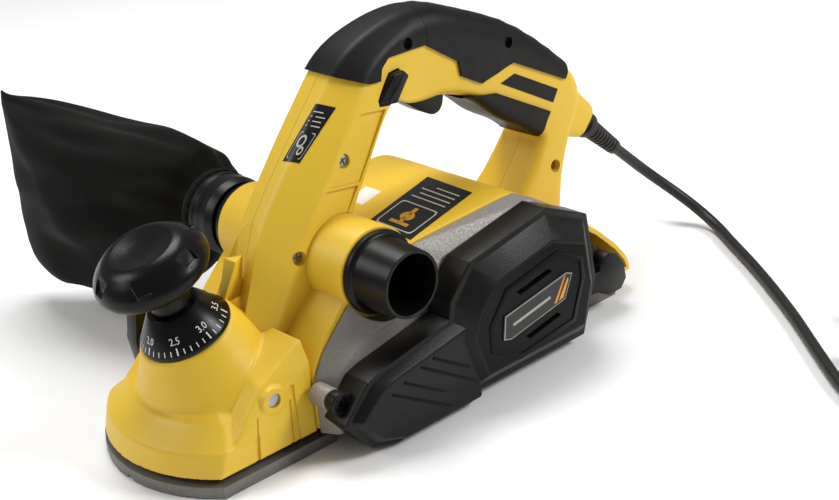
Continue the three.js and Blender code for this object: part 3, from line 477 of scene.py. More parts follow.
cut(casting, rod(*MOTOR, 14.3, -75, -50, cast_alloy), rod(*DRUM, 13.3, -75, -50, cast_alloy),
    rod(*DUCT, 26.2, -75, -50, cast_alloy, 64), rod(*EAR, 2.3, -80, -60, cast_alloy, 16),
    rod(*FOOT_PIVOT, 3.3, -75, -55, cast_alloy, 16), block(-160, -100, -75, -50, 0, 10.8, cast_alloy))
cut(casting, keep(rod(*DRUM, 26.5, -58, 58, cast_alloy, 64), block(-160, -90, -57.2, 60, 0, 60, cast_alloy)))
stand_for(smooth(casting), "machine", "cast_alloy", "frame_casting")

far_plate = prism(
    [(-149, 12), (-62, 12), (-62, 50), (-76, 62), (-128, 62), (-144, 50)], 56.8, 61.5, cast_alloy,
    name="drum_bearing_plate")
soften(far_plate, 1)
far_boss = soften(rod(*DRUM, 16.5, 57, 67.5, cast_alloy, 48), 1.2)
join(far_plate, far_boss)
cut(far_plate, rod(*DRUM, 13.3, 50, 65.5, cast_alloy), rod(*DUCT, 26, 50, 70, cast_alloy, 64),
    block(-150, -90, 50, 80, -5, 7.2, cast_alloy))
stand_for(smooth(far_plate), "machine", "cast_alloy", "far_bearing_plate")


# ---------------------------------------------------------------- motor housing
# Yellow ABS shell over the motor and the chip duct, injection moulded with a fine satin grain and
# screwed to the casting. The duct's collar stands out on both sides; cooling air enters the far side.
yellow_abs = surface("abs_moulded_yellow", ("e2b92e", "e8c23c"), 60, 0.42, 0.5, 0.02, 0.05)
BODY_HALF = 56.5
HOUSING = [
    (-149.5, 11.6), (117, 11.6), (114, 22), (104, 34), (86, 50.5), (52, 75), (27, 92), (8, 102),
    (-73, 98), (-118, 84), (-142, 60), (-149.5, 46)]
MOTOR_ROOM = [
    (-58.5, 15), (112.5, 15), (110.5, 20.5), (101.5, 31.5), (84, 47.5), (50, 72), (25.5, 88.8), (7.5, 98.3),
    (-58.5, 94.6)]


def rounded(corners, radii, steps=4):
    """A closed outline with its corners rounded, with the same number of points for equal corner counts."""
    points = []
    for i, (corner, radius) in enumerate(zip(corners, radii)):
        before, here, after = Vector(corners[i - 1]), Vector(corner), Vector(corners[(i + 1) % len(corners)])
        if not radius:
            points.append(tuple(here))
            continue
        start = here + (before - here).normalized() * min(radius, 0.46 * (before - here).length)
        end = here + (after - here).normalized() * min(radius, 0.46 * (after - here).length)
        for step in range(steps + 1):
            t = step / steps
            points.append(tuple(start * (1 - t) ** 2 + here * 2 * t * (1 - t) + end * t * t))
    return points


housing = prism(rounded(HOUSING, [0, 3, 5, 6, 8, 8, 8, 9, 9, 8, 6, 3]), -BODY_HALF, BODY_HALF, yellow_abs,
                name="motor_housing_shell")
soften(housing, 2.4, 3, 40)
collar = soften(rod(*DUCT, 25.5, -56.5, 56.5, yellow_abs, 72), 0.8)
join(housing, collar)
cut(housing, prism(MOTOR_ROOM, -58, 52.5, yellow_abs), rod(*DUCT, 19.5, -60, 60, yellow_abs, 48),
    rod(*DRUM, 26.5, -60, 60, yellow_abs, 48), block(-120, -96, -44, 44, 40, 78, yellow_abs),
    rod(*MOTOR, 11.3, 46, 55.3, yellow_abs))
for slot_x in (22, 29, 36, 43, 50):
    slot = prism(rounded([(slot_x, 30), (slot_x + 4, 30), (slot_x + 4, 62), (slot_x, 62)], [1.9] * 4), 50,
        60, yellow_abs)
    cut(housing, slot)
stand_for(smooth(housing), "machine", "body_yellow", "motor_housing")


# ---------------------------------------------------------------- toe hood
# Yellow ABS hood over the front shoe, moulded in one piece: a skirt, a sloping deck and the tilted
# cone that holds the depth dial. Its round corners have a radius of about 2 mm.
DIAL = Vector((-189.2, 0, 73.2))
TILT = math.radians(20)
DIAL_AXIS = Vector((-math.sin(TILT), 0, math.cos(TILT)))
HOOD_REAR = -149.8


def toe_outline(inset, rear, steps=40, side=None):
    radius = 83 - inset
    half = 57 - (inset if side is None else side)
    sweep = math.asin(half / radius)
    points = [(rear, -half), (rear, half)]
    for i in range(steps + 1):
        turn = math.pi - sweep + 2 * sweep * i / steps
        points.append((-155 + radius * math.cos(turn), radius * math.sin(turn)))
    return points


deck_rows = [(1.0, 11.2), (3.6, 23.6), (4.2, 24.8), (15, 33), (17.5, 35.5), (24, 38), (30, 39)]
deck_rings = [
    (x, y, z) for inset, z in deck_rows for x, y in toe_outline(inset, HOOD_REAR, side=max(1, inset - 5))]
hood = smooth(new_piece(
    "toe_hood_shell", deck_rings, loft_faces(len(deck_rows), len(toe_outline(1, HOOD_REAR))), yellow_abs))
dial_cone = smooth(lathe(
    "tool", [(0, -50), (45, -50), (43, -38), (38.5, -28), (34.5, -17), (28, -2), (27.2, -1), (0, -1)],
    DIAL, DIAL_AXIS, yellow_abs, 72))
shoulder = hull([
    point for side in (-1, 1) for point in (
        (-205, side * 55, 25), (HOOD_REAR, side * 56, 25), (-182, side * 52, 50), (HOOD_REAR, side * 56, 54),
        (HOOD_REAR, side * 50, 66), (HOOD_REAR, side * 26, 62), (-178, side * 26, 54))], yellow_abs)
saddle = hull(
    [tuple(DIAL + DIAL_AXIS * -3 + Vector((math.cos(TILT) * 28 * math.cos(t), 28 * math.sin(t),
                                          math.sin(TILT) * 28 * math.cos(t)))) for t in
     (2 * math.pi * i / 48 for i in range(48))]
    + [(-172 + 46 * math.cos(t), 46 * math.sin(t), 38) for t in (2 * math.pi * i / 48 for i in range(48))
       if -172 + 46 * math.cos(t) < HOOD_REAR]
    + [(HOOD_REAR, y, 38) for y in (-40, 40)], yellow_abs)
guide_boss = [rod(-176, 42, 7.5, *span, yellow_abs) for span in ((-56.4, -40), (40, 56.4))]
join(hood, dial_cone, shoulder, saddle, *guide_boss)
remesh = hood.modifiers.new("blend", "REMESH")
remesh.mode = "VOXEL"
remesh.voxel_size = 0.95 * MM
settle(hood)
melt = hood.modifiers.new("fillets", "SMOOTH")
melt.factor = 0.5
melt.iterations = 4
settle(hood)
inner_deck = prism(toe_outline(4.5, -152.8), 5, 24, yellow_abs, "z")
cut(hood, inner_deck, block(-196, -152.8, -40, 40, 20, 36, yellow_abs),
    smooth(lathe("tool", [(0, -60), (4.8, -60), (4.8, 3), (0, 3)], DIAL, DIAL_AXIS, yellow_abs, 24)),
    smooth(lathe("tool", [(0, -22), (9.5, -22), (9.5, 3), (0, 3)], DIAL, DIAL_AXIS, yellow_abs, 32)),
    smooth(lathe("tool", [(0, -0.95), (40, -0.95), (40, 20), (0, 20)], DIAL, DIAL_AXIS, yellow_abs, 64)),
    rod(-176, 42, 4.2, -62, -44, yellow_abs, 24), rod(-176, 42, 4.2, 44, 62, yellow_abs, 24))
for side in (-1, 1):
    shallow = sorted((side * 54.6, side * 60))
    cut(hood, prism([(-192.4, 8), (-189.6, 8), (-187, 36), (-190.6, 36)], *shallow, yellow_abs),
        prism([(-168.4, 8), (-166, 8), (-164.8, 38), (-167, 38)], *shallow, yellow_abs),
        prism([(-164, 8), (-161.4, 8), (-162, 46), (-165, 46)], *shallow, yellow_abs))
stand_for(smooth(hood, 40), "machine", "body_yellow", "toe_hood")
pointer = hull([
    (-164.5, -2.2, 78), (-164.5, 2.2, 78), (-161.5, -2.8, 86), (-161.5, 2.8, 86), (-155, -5.2, 101),
    (-155, 5.2, 101), (-146, 0, 101), (-150, 0, 78)], yellow_abs, "depth_pointer_wedge")
stand_for(smooth(soften(pointer, 0.4)), "machine", "body_yellow")


# ---------------------------------------------------------------- loop handle
# Two yellow ABS half shells, moulded hollow and screwed together on the centre line. The front column
# is filled below z 122, where its hollow would otherwise break through the wall. That column also
# has a flat ridge between two wide chamfers, and stepped panels in its sides.
# Stations: outer (x, z), inner (x, z), half width, chamfer depth and width, corner softness.
LOOP = [
    (-170, 66, -96, 60, 27, 20, 18, 3.5), (-149, 99, -88, 102, 27, 20, 18, 3.5),
    (-127, 131, -69, 136, 27, 20, 18, 3.5),
    (-95, 170, -46, 166, 25, 17, 15, 3), (-70, 196, -30, 160, 22, 13, 12, 3),
    (-38, 208, -16, 157, 19, 10, 10, 4),
    (-6, 210, 0, 156, 18, 9, 9, 9), (25, 200, 22, 148, 18, 9, 9, 9), (64, 182, 44, 131, 18, 9, 9, 8),
    (100, 155, 66, 118, 19, 9, 9, 6), (121, 131, 78, 107, 19, 9, 9, 5), (108, 103, 74, 99, 20, 6, 6, 4),
    (98, 80, 63, 85, 22, 6, 6, 4), (91, 50.8, 55, 76, 24, 6, 6, 4)]
COLLAR = [(104, 145, 82, 106, 14, 6, 6, 5), (138, 111, 121, 92, 13, 6, 6, 5)]
LOOP_STEPS = 6


def handle_section(station, inset, side, start):
    """One section of the handle: a half on one side from start outwards, or the whole where side is 0."""
    outer = Vector((station[0], station[1]))
    inner = Vector((station[2], station[3]))
    half, deep, wide, soft = station[4:]
    length = (inner - outer).length
    along = (inner - outer).normalized()
    reach = half - inset
    back = 4
    corners = [
        (inset, reach - wide), (inset + deep, reach), (length - inset - back, reach),
        (length - inset, reach - back)]
    radii = [soft, soft, 3, 3]
    if side:
        corners = [(inset, start), *corners, (length - inset, start)]
        radii = [0, *radii, 0]
        points = [(s, side * y) for s, y in rounded(corners, radii)]
    else:
        mirrored = [(s, -y) for s, y in corners[::-1]]
        points = rounded(corners + mirrored, radii + radii[::-1])
    return [(outer.x + along.x * s, y, outer.y + along.y * s) for s, y in points]


def handle_loft(stations, inset, side, start, material, steps=LOOP_STEPS, name="tool"):
    rows = through(stations, steps)
    if inset > 0:
        for end, nearby in ((0, 1), (-1, -2)):
            pairs = enumerate(zip(rows[end], rows[nearby]))
            rows[end] = [a + (a - b) * 0.9 if k < 4 else a for k, (a, b) in pairs]
    rings = [handle_section(row, inset, side, start) for row in rows]
    return smooth(new_piece(name, sum(rings, []), loft_faces(len(rings), len(rings[0])), material))


HANDLE_SCREWS = [(-88, 144, 27), (-127, 99, 27), (-30, 196, 19), (52, 176, 18), (86, 86, 21)]
SIDE_STEPS = [
    ([(-73, 167), (-54.6, 165), (-79.6, 129.6), (-102.7, 132.6)], (23.3, 26.2)),
    ([(-104, 131), (-81, 128), (-95, 108), (-116, 114)], (25.2, 27.2))]
LOCK_OPENING = [(-58.6, 167), (-45.2, 165.2), (-34.4, 179.6), (-38.4, 184), (-46.8, 183.4), (-58.8, 170.6)]


def side_step(outline, depths, side):
    """A wedge that is deepest along the panel's upper edge."""
    near, far = depths
    inner = [(x, side * (near if k < 2 else far), z) for k, (x, z) in enumerate(outline)]
    outside = [(x, side * 40, z) for x, z in outline]
    return smooth(new_piece("tool", outside + inner, loft_faces(2, 4), yellow_abs))


def handle_half(name, side):
    half = handle_loft(LOOP, 0, side, 0.12, yellow_abs, name=name)
    join(half, handle_loft(COLLAR, 0, side, 0.12, yellow_abs))
    cut(half, handle_loft(LOOP, 3, side, -1, yellow_abs, 2))
    foot = handle_loft(LOOP, 0.2, side, 0.12, yellow_abs)
    filler = keep(foot, block(-200, -70, -40, 40, 50, 122, yellow_abs))
    bosses = [
        smooth(rod(x, z, 6, *sorted((side * 0.12, side * (reach - 2))), yellow_abs))
        for x, z, reach in HANDLE_SCREWS]
    join(half, filler, *[keep(boss, handle_loft(LOOP, 0.6, side, 0.12, yellow_abs)) for boss in bosses])
    tools = [
        rod(*DUCT, 25.8, -30, 30, yellow_abs, 64),
        block(-29, 9, -7.6, 7.6, 138, 172, yellow_abs),
        smooth(lathe("tool", [(0, -6), (29.5, -6), (31, 24), (0, 24)], DIAL, DIAL_AXIS, yellow_abs, 64)),
        smooth(lathe("tool", [(0, -26), (7.4, -26), (7.4, 16), (0, 16)], CORD_EXIT, CORD_HEADING,
        yellow_abs)),
        smooth(lathe(
            "tool", [(0, -40), (21, -40), (22, 60), (0, 60)], (-176, 0, 74), (0.34, 0, 0.94), yellow_abs,
            64)),
    ]
    tools += [side_step(outline, depths, side) for outline, depths in SIDE_STEPS]
    for x, z, reach in HANDLE_SCREWS:
        if side < 0:
            tools += [rod(x, z, 2.3, -reach - 1, 1, yellow_abs, 16),
                rod(x, z, 4.2, -reach - 3, -reach + 7, yellow_abs, 32)]
        else:
            tools.append(rod(x, z, 2.3, -1, 9, yellow_abs, 16))
    if side < 0:
        tools.append(prism(LOCK_OPENING, -30, -10, yellow_abs))
    for tool in tools:
        cut(half, tool)
    return smooth(half)


stand_for(handle_half("handle_half_belt_side", -1), "machine", "body_yellow", "handle_left")
stand_for(handle_half("handle_half_far_side", 1), "machine", "body_yellow", "handle_right")


# ---------------------------------------------------------------- grips
# Black thermoplastic rubber moulded over the handle, 1.8 mm thick, with a spark-eroded grain: the
# visor round the front bend, the ribbed grip on top and the pad under the rear bend.
grip_rubber = surface("tpe_overmoulded_black", ("0d0c0b", "141210"), 14, 0.46, 0.55, 0.06, 0.06, gleam=0.24)
VISOR = [
    (-92, 194.5), (-78, 187.6), (-64, 181.8), (-55, 181), (-52.6, 187.7), (-46.5, 192.2), (-14.6, 191.6),
    (-14.6, 225), (-92, 225)]
TOP_GRIP = [
    (-14.2, 190.4), (9.4, 175), (11.1, 165.5), (27.5, 156.6), (55.2, 162.6), (99.9, 140.1), (112, 150),
    (90, 185),
    (40, 225), (-14.2, 225)]
UNDER_GRIP = [(14.7, 151.1), (39.5, 147.2), (85, 123), (81, 117.5), (76, 108), (50, 112), (10, 142)]


def grip(name, outline, node, ribs=0.0, sleeve=None):
    proud = handle_loft(LOOP, -1.8, 0, 0, grip_rubber, name=name)
    if ribs:
        for vertex in proud.data.vertices:
            x = vertex.co.x / MM
            swell = ribs * MM * (math.cos(2 * math.pi * (x + 13) / 12) - 1) / 2
            middle = Vector((vertex.co.x * 0.8, 0, 0.16))
            vertex.co += (vertex.co - middle).normalized() * swell
    keep(proud, prism(outline, -40, 40, grip_rubber))
    cut(proud, handle_loft(LOOP, -0.05, 0, 0, grip_rubber))
    for x, z, reach in HANDLE_SCREWS[2:4]:
        if (x, z) == sleeve:
            join(proud, rod(x, z, 4.1, -reach - 1, -reach + 3.3, grip_rubber))
            cut(proud, rod(x, z, 3.5, -40, 0, grip_rubber))
    return stand_for(smooth(proud), "machine", "grip_rubber", node)


grip("grip_visor_cap", VISOR, "grip_visor", 0.0, (-30, 196))
grip("grip_top_ribbed", TOP_GRIP, "grip_top", 0.5, (52, 176))
grip("grip_under_pad", UNDER_GRIP, "grip_under")
side_inlay = handle_loft(LOOP, -0.35, 0, 0, grip_rubber, name="handle_side_inlay")
keep(side_inlay, prism([(56.7, 155), (93.6, 135.2), (88.8, 127.6), (44.4, 151.8)], -40, -12, grip_rubber))
cut(side_inlay, handle_loft(LOOP, 0.03, 0, 0, grip_rubber))
stand_for(smooth(side_inlay), "machine", "grip_rubber")


# ---------------------------------------------------------------- handle screws
# Zinc-plated steel screws with a cross recess, 7.6 mm across the head, one at the bottom of each hole.
def instances(name, points, turned, material):
    """One copy of a finished mesh on each point, made by a node tree and turned into a plain mesh."""
    anchor = new_piece(name, points, [], material)
    tree = bpy.data.node_groups.new(name + "_layout", "GeometryNodeTree")
    tree.interface.new_socket("Places", in_out="INPUT", socket_type="NodeSocketGeometry")
    tree.interface.new_socket("Screw", in_out="INPUT", socket_type="NodeSocketObject")
    tree.interface.new_socket("Material", in_out="INPUT", socket_type="NodeSocketMaterial")
    tree.interface.new_socket("Screws", in_out="OUTPUT", socket_type="NodeSocketGeometry")
    entry = add(tree, "NodeGroupInput")
    model = add(tree, "GeometryNodeObjectInfo", inputs={"Object": entry.outputs["Screw"]})
    turn = add(tree, "FunctionNodeRandomValue", {"data_type": "FLOAT"}, {"Min": 0.0, "Max": 1.5, "Seed": 4})
    spin = add(tree, "ShaderNodeCombineXYZ", inputs={1: turn.outputs[1]})
    spread = add(tree, "GeometryNodeInstanceOnPoints", inputs={
        "Points": entry.outputs["Places"], "Instance": model.outputs["Geometry"],
        "Rotation": spin.outputs[0]})
    solid = add(tree, "GeometryNodeRealizeInstances", inputs={"Geometry": spread.outputs[0]})
    finish = add(tree, "GeometryNodeSetMaterial", inputs={
        "Geometry": solid.outputs[0], "Material": entry.outputs["Material"]})
    add(tree, "NodeGroupOutput", inputs={"Screws": finish.outputs[0]})
    layout = anchor.modifiers.new("layout", "NODES")
    layout.node_group = tree
    sockets = {item.name: item.identifier for item in tree.interface.items_tree}
    layout[sockets["Screw"]] = turned
    layout[sockets["Material"]] = material
    settle(anchor)
    bpy.data.objects.remove(turned)
    return anchor


zinc_steel = surface("steel_zinc_plated_screw", ("a8a9a8", "c2c1bb"), 4, 0.3, 0.4, 0.01, 0.06, 1.0)
screw_head = soften(rod(0, 0, 3.8, 0, 3.2, zinc_steel, 32), 0.5)
cut(screw_head, block(-2.4, 2.4, -0.2, 1.8, -0.45, 0.45, zinc_steel),
    block(-0.45, 0.45, -0.2, 1.8, -2.4, 2.4, zinc_steel))
join(screw_head, rod(0, 0, 1.9, 2.9, 15, zinc_steel, 16))
smooth(screw_head)
handle_screws = instances(
    "handle_screws", [(x, -reach + 3.4, z) for x, z, reach in HANDLE_SCREWS], screw_head, zinc_steel)
stand_for(handle_screws, "machine", "steel", *[f"handle_screw_{k}" for k in range(1, 6)])


# ---------------------------------------------------------------- switch trigger and lock button
# Black glass-filled nylon, moulded. The trigger swings up into its slot; the lock button on the belt
# side is pushed in to hold it.
satin_nylon = surface("nylon_moulded_satin_black", ("0a0908", "110f0d"), 12, 0.34, 0.45, 0.03, 0.06,
    gleam=0.24)
trigger = prism(
    rounded([(-28, 166), (-28, 160), (-14, 149), (-2, 142.5), (4, 144), (7, 150), (7.5, 164)],
    [1, 3, 8, 4, 3, 4, 1]),
    -6.8, 6.8, satin_nylon, name="switch_trigger")
soften(trigger, 1.6, 4, 50)
stand_for(smooth(trigger), "trigger", "black_plastic", "trigger")
LOCK_FACE = [(-57.9, 167.5), (-45.5, 165.9), (-35.1, 179.5), (-38.6, 183.3), (-46.4, 182.7), (-58, 170.2)]
lock = prism(LOCK_FACE, -25.6, -14, satin_nylon, name="lock_button_cap")
soften(lock, 0.9)
ridge = hull([(-51.5, -26.4, 168.6), (-39.4, -26.4, 181)]
             + [(-50.2, -25.4, 167.6), (-38.2, -25.4, 180), (-52.8, -25.4, 169.8), (-40.6, -25.4, 182)],
             satin_nylon)
join(lock, soften(ridge, 0.2))
stand_for(smooth(lock), "lock_button", "grip_rubber", "lock_button")


# ---------------------------------------------------------------- depth knob and dial
# Black nylon mushroom knob, moulded glossy, with finger notches. The dial ring under it is a cone
# printed in white with a tick every 9 degrees, a longer one at every fifth, and numbers.
gloss_nylon = surface("nylon_moulded_gloss_black", ("090807", "0f0d0c"), 16, 0.28, 0.5, 0.015, 0.05,
    gleam=0.22)
white_print = surface("ink_pad_printed_white", ("dcdad4", "eeece8"), 3, 0.6, 0.4, 0.005, 0.05)


def from_dial(radius, turn, height):
    """A point round the dial's axis; turn 0 is the side towards the handle, seen from above."""
    across = Vector((math.cos(TILT), 0, math.sin(TILT)))
    return DIAL + DIAL_AXIS * height + (across * math.cos(turn) + Vector((0, 1, 0)) * math.sin(turn)) * radius


knob_profile = [
    (0, -0.6), (11.8, -0.6), (11.8, 26), (13.2, 31), (20, 34.6), (28.6, 37.2), (32.2, 40.4), (33, 43.6),
    (32, 47.4),
    (28.6, 52), (22.6, 57), (18.6, 58.6), (15.5, 58), (8, 56.4), (0, 55.8)]
knob = smooth(lathe("depth_knob_mushroom", eased(knob_profile, 2.4), DIAL, DIAL_AXIS, gloss_nylon, 96))
NOTCHES = 6
NOTCH_CORNERS = ((23.5, 66, 6.4), (23.5, 57.5, 6.4), (28.8, 48.2, 4.2), (40, 46.6, 4.2), (40, 66, 6.4))
for k in range(NOTCHES):
    middle = 2 * math.pi * (k + 0.5) / NOTCHES + math.radians(20)
    outline = []
    for radius, height, half in NOTCH_CORNERS:
        for side in (-1, 1):
            outline.append(from_dial(math.hypot(radius, half), middle + side * math.atan2(half, radius),
                height))
    cut(knob, soften(hull([tuple(p) for p in outline], gloss_nylon), 0.5, 2))
stand_for(smooth(knob, 24), "depth_control", "black_plastic", "depth_knob")

dial_profile = [
    (12.1, -0.5), (26.2, -0.5), (26.2, 1.2), (26.0, 1.7), (15, 17.6), (14.4, 18), (12.1, 18), (12.1, -0.5)]
dial = smooth(lathe("depth_dial", dial_profile, DIAL, DIAL_AXIS, gloss_nylon, 96))
stand_for(dial, "depth_control", "black_plastic", "dial_ring")


def on_cone(down, turn, lift=0.05):
    """A point on the dial's cone, down millimetres up from its rim along the slope."""
    slope = Vector((15 - 26.0, 17.6 - 1.7)).normalized()
    outward = Vector((slope.y, -slope.x))
    spot = Vector((26.0, 1.7)) + slope * down + outward * lift
    return from_dial(spot.x, turn, spot.y)


TICKS = 36
TICK_SPACING = math.radians(9)
tick_points = []
tick_faces = []
for k in range(TICKS):
    turn = k * TICK_SPACING
    length, half = (4.2, 0.42) if k % 5 == 0 else (2.9, 0.27)
    start = len(tick_points)
    for down in (0.7, 0.7 + length):
        for side in (-1, 1):
            tick_points.append(tuple(on_cone(down, turn + side * half / 25)))
    tick_faces.append((start, start + 1, start + 3, start + 2))
ticks = new_piece("dial_ticks", tick_points, tick_faces, white_print)
thick = ticks.modifiers.new("ink", "SOLIDIFY")
thick.thickness = 0.06 * MM
thick.offset = 0
stand_for(smooth(settle(ticks)), "depth_control", "black_plastic")

number_points = []
number_faces = []
for k in range(8):
    words = bpy.data.curves.new("number", "FONT")
    words.body = f"{k * 0.5:.1f}"
    words.size = 5.4
    words.align_x = "CENTER"
    words.resolution_u = 3
    drawn = bpy.data.objects.new("number", words)
    bpy.context.scene.collection.objects.link(drawn)
    flat = bpy.data.meshes.new_from_object(drawn.evaluated_get(bpy.context.evaluated_depsgraph_get()))
    start = len(number_points)
    for vertex in flat.vertices:
        down = 6.6 + vertex.co.y * 1.05
        radius = 26 - down * 0.57
        number_points.append(tuple(on_cone(down, math.radians(45 * k) + vertex.co.x * 0.92 / radius)))
    number_faces += [tuple(start + i for i in face.vertices) for face in flat.polygons]
    bpy.data.objects.remove(drawn)
numbers = new_piece("dial_numbers", number_points, number_faces, white_print)
thick = numbers.modifiers.new("ink", "SOLIDIFY")
thick.thickness = 0.06 * MM
thick.offset = 0
stand_for(smooth(settle(numbers)), "depth_control", "black_plastic")


# ---------------------------------------------------------------- belt cover
# Black glass-filled nylon cover with a sand texture on its bevels, a raised ring round its flat face
# and ribs over the drum pulley. The real cover's groove behind its flange is not modelled.
cover_nylon = surface(
    "nylon_moulded_sand_textured_black", ("0b0a08", "151311"), 1.1, 0.36, 0.6, 0.12, 0.1, gleam=0.24)
face_nylon = surface("nylon_moulded_smooth_black", ("080706", "0c0b0a"), 9, 0.34, 0.5, 0.02, 0.05, gleam=0.12)
COVER_BACK = -68.3
COVER_FACE = -96
LOBE_TOP = -92
HEX = [(-77, 44), (-66, 6), (36, 6), (48, 42), (42, 84), (6, 100), (-56, 88), (-72, 70)]
HEX_FACE = [(-64, 44), (-55, 19), (27, 19), (34, 44), (30, 72), (2, 83), (-44, 74), (-58, 60)]
LOBE = [(-154, 27), (-137, 6), (-119, 1.2), (-60, 1.2), (-58, 62), (-127, 49), (-136, 46)]
LOBE_FACE = [(-146, 27), (-132, 12), (-116, 5.5), (-58, 5.5), (-58, 54), (-124, 43), (-131, 40)]


def shrunk(outline, amount):
    """The outline moved inwards, for outlines given counter-clockwise."""
    lines = []
    for i, here in enumerate(outline):
        here, there = Vector(here), Vector(outline[(i + 1) % len(outline)])
        along = (there - here).normalized()
        lines.append((here + Vector((-along.y, along.x)) * amount, along))
    moved = []
    for i, (point, along) in enumerate(lines):
        before, heading = lines[i - 1]
        cross = heading.x * along.y - heading.y * along.x
        gap = point - before
        moved.append(tuple(before + heading * (gap.x * along.y - gap.y * along.x) / cross))
    return moved


def cover_solid(inset, name="tool"):
    flange = -86.8 + inset
    back = COVER_BACK + 1 if inset else COVER_BACK
    solids = []
    for outline, face, top in ((HEX, HEX_FACE, COVER_FACE), (LOBE, LOBE_FACE, LOBE_TOP)):
        rise = hull(at(shrunk(outline, inset + (0 if inset else 1.6)), flange if inset else flange + 2)
                    + at(shrunk(face, inset), top + inset), cover_nylon, name)
        solids.append(rise if inset else soften(rise, 1.3))
        wall = prism(shrunk(outline, inset), flange, back, cover_nylon)
        solids.append(wall if inset else soften(wall, 0.8))
    if inset:
        solids.append(block(-80, -50, flange, back, 10, 48, cover_nylon))
    return join(solids[0], *solids[1:])


cover = cover_solid(0, "belt_cover_shell")
ear_bridge = soften(hull([
    (x, y, z) for y in (-80, -73.3) for x, z in circle(*EAR, 6.5, 20) + circle(-140, 30, 8, 20)],
    cover_nylon), 0.7)
join(cover, ear_bridge)
cut(cover, cover_solid(2.5), rod(*EAR, 6.8, -73.3, -60, cover_nylon, 40))
join(cover, rod(34, 18, 6, -84, COVER_BACK, cover_nylon))
cut(cover, rod(*EAR, 2.3, -90, -70, cover_nylon, 16), rod(*EAR, 4.4, -82, -76.6, cover_nylon),
    rod(34, 18, 2.3, -100, -60, cover_nylon, 16), rod(34, 18, 4.4, -100, -80, cover_nylon))


def tilted(x, z, length, height, turn, shear=0.0):
    """A four-sided outline round (x, z), turned, with its ends sloped."""
    corners = [(-length / 2 + shear, -height / 2), (length / 2, -height / 2),
        (length / 2 - shear, height / 2),
               (-length / 2, height / 2)]
    return [
        (x + a * math.cos(turn) - b * math.sin(turn), z + a * math.sin(turn) + b * math.cos(turn))
        for a, b in corners]


SLOT_TURN = math.radians(10)
for slot_x, slot_z, slot_length in ((-15, 63.4, 30), (-9, 33, 30)):
    cut(cover, prism(tilted(slot_x, slot_z, slot_length, 3.4, SLOT_TURN, 2.5), -99, -90, cover_nylon))
stand_for(smooth(cover), "machine", "black_plastic", "belt_cover")


def bar(start, end, width, low, high, material, name="tool"):
    """A straight rib between two (x, z) points, from one y to another."""
    start, end = Vector(start), Vector(end)
    along = (end - start).normalized()
    side = Vector((-along.y, along.x)) * width / 2
    return prism([tuple(start - side), tuple(end - side), tuple(end + side), tuple(start + side)], low,
        high, material,
                 name=name)


# The raised ring on the flat face: an eight-sided frame with rounded edges.
RING = [(-52, 33), (-29.4, 20.4), (17.3, 26), (26.5, 50.8), (25.6, 63.9), (4.4, 75), (-38, 67), (-52, 49)]
face_ring = prism(shrunk(RING, -1), COVER_FACE - 0.7, COVER_FACE + 0.5, face_nylon, name="belt_cover_ring")
soften(face_ring, 0.5, 2)
cut(face_ring, prism(shrunk(RING, 2.2), COVER_FACE - 3, COVER_FACE + 3, face_nylon))
stand_for(smooth(face_ring), "machine", "black_plastic")
face_panel = prism(shrunk(HEX_FACE, 1.4), COVER_FACE - 0.12, COVER_FACE + 0.4, face_nylon,
    name="belt_cover_face")
for slot_x, slot_z, slot_length in ((-15, 63.4, 30), (-9, 33, 30)):
    cut(face_panel, prism(tilted(slot_x, slot_z, slot_length, 3.4, SLOT_TURN, 2.5), -99, -90, face_nylon))
stand_for(smooth(face_panel), "machine", "black_plastic")
lobe_ribs = None
RIB_LINES = (((-124, 35.5), (-82, 10)), ((-102, 43), (-61, 17)), ((-93, 45), (-66, 28)),
    ((-115, 39), (-86, 21)))
for start, end in RIB_LINES:
    rib = soften(bar(start, end, 1.6, LOBE_TOP - 0.6, LOBE_TOP + 0.6, face_nylon, "belt_cover_ribs"), 0.4, 2)
    lobe_ribs = join(lobe_ribs, rib) if lobe_ribs else rib
stand_for(smooth(lobe_ribs), "machine", "black_plastic")
black_steel = surface("steel_black_oxide", ("171717", "222120"), 5, 0.35, 0.4, 0.01, 0.06, 0.8)
for node, screw_x, screw_z, top in (("cover_screw_front", *EAR, -79.8), ("cover_screw_rear", 34, 18, -83)):
    head = soften(rod(screw_x, screw_z, 4, top, top + 2.8, black_steel, 32), 0.6)
    cut(head, block(screw_x - 2.4, screw_x + 2.4, top - 0.2, top + 1.6, screw_z - 0.45, screw_z + 0.45,
        black_steel),
        block(screw_x - 0.45, screw_x + 0.45, top - 0.2, top + 1.6, screw_z - 2.4, screw_z + 2.4,
        black_steel))
    join(head, rod(screw_x, screw_z, 2, top + 2.5, top + 14, black_steel, 16))
    head.name = node + "_pan_head"
    stand_for(smooth(head), "machine", "steel", node)

# Name plate: printed polycarbonate, left plain but for a silver border, a grey line and two orange bars.
plate_black = surface("polycarbonate_printed_black", ("141412", "1b1a18"), 20, 0.25, 0.5, 0.01, 0.04)
silver_print = surface("ink_screen_printed_silver", ("8f8e8a", "b0afa9"), 6, 0.35, 0.4, 0.01, 0.05, 0.6)
orange_print = surface("ink_screen_printed_orange", ("d98a1f", "e79c33"), 6, 0.45, 0.4, 0.01, 0.05)
NAME_PLATE = [(-43, 37), (-37, 35.5), (9, 43.5), (16, 58), (11, 60), (-41, 51.5)]
name_plate = soften(prism(NAME_PLATE, -97.3, -96.3, silver_print, name="name_plate_rim"), 0.3, 2)
stand_for(smooth(name_plate), "machine", "black_plastic", "name_plate")
stand_for(prism(shrunk(NAME_PLATE, 0.8), -97.42, -97.2, plate_black, name="name_plate_field"), "machine",
    "black_plastic")
stripes = prism(
    [(3, 44.6), (7, 45.3), (12.2, 55.6), (11.2, 56.6)], -97.5, -97.35, orange_print, name="name_plate_bars")
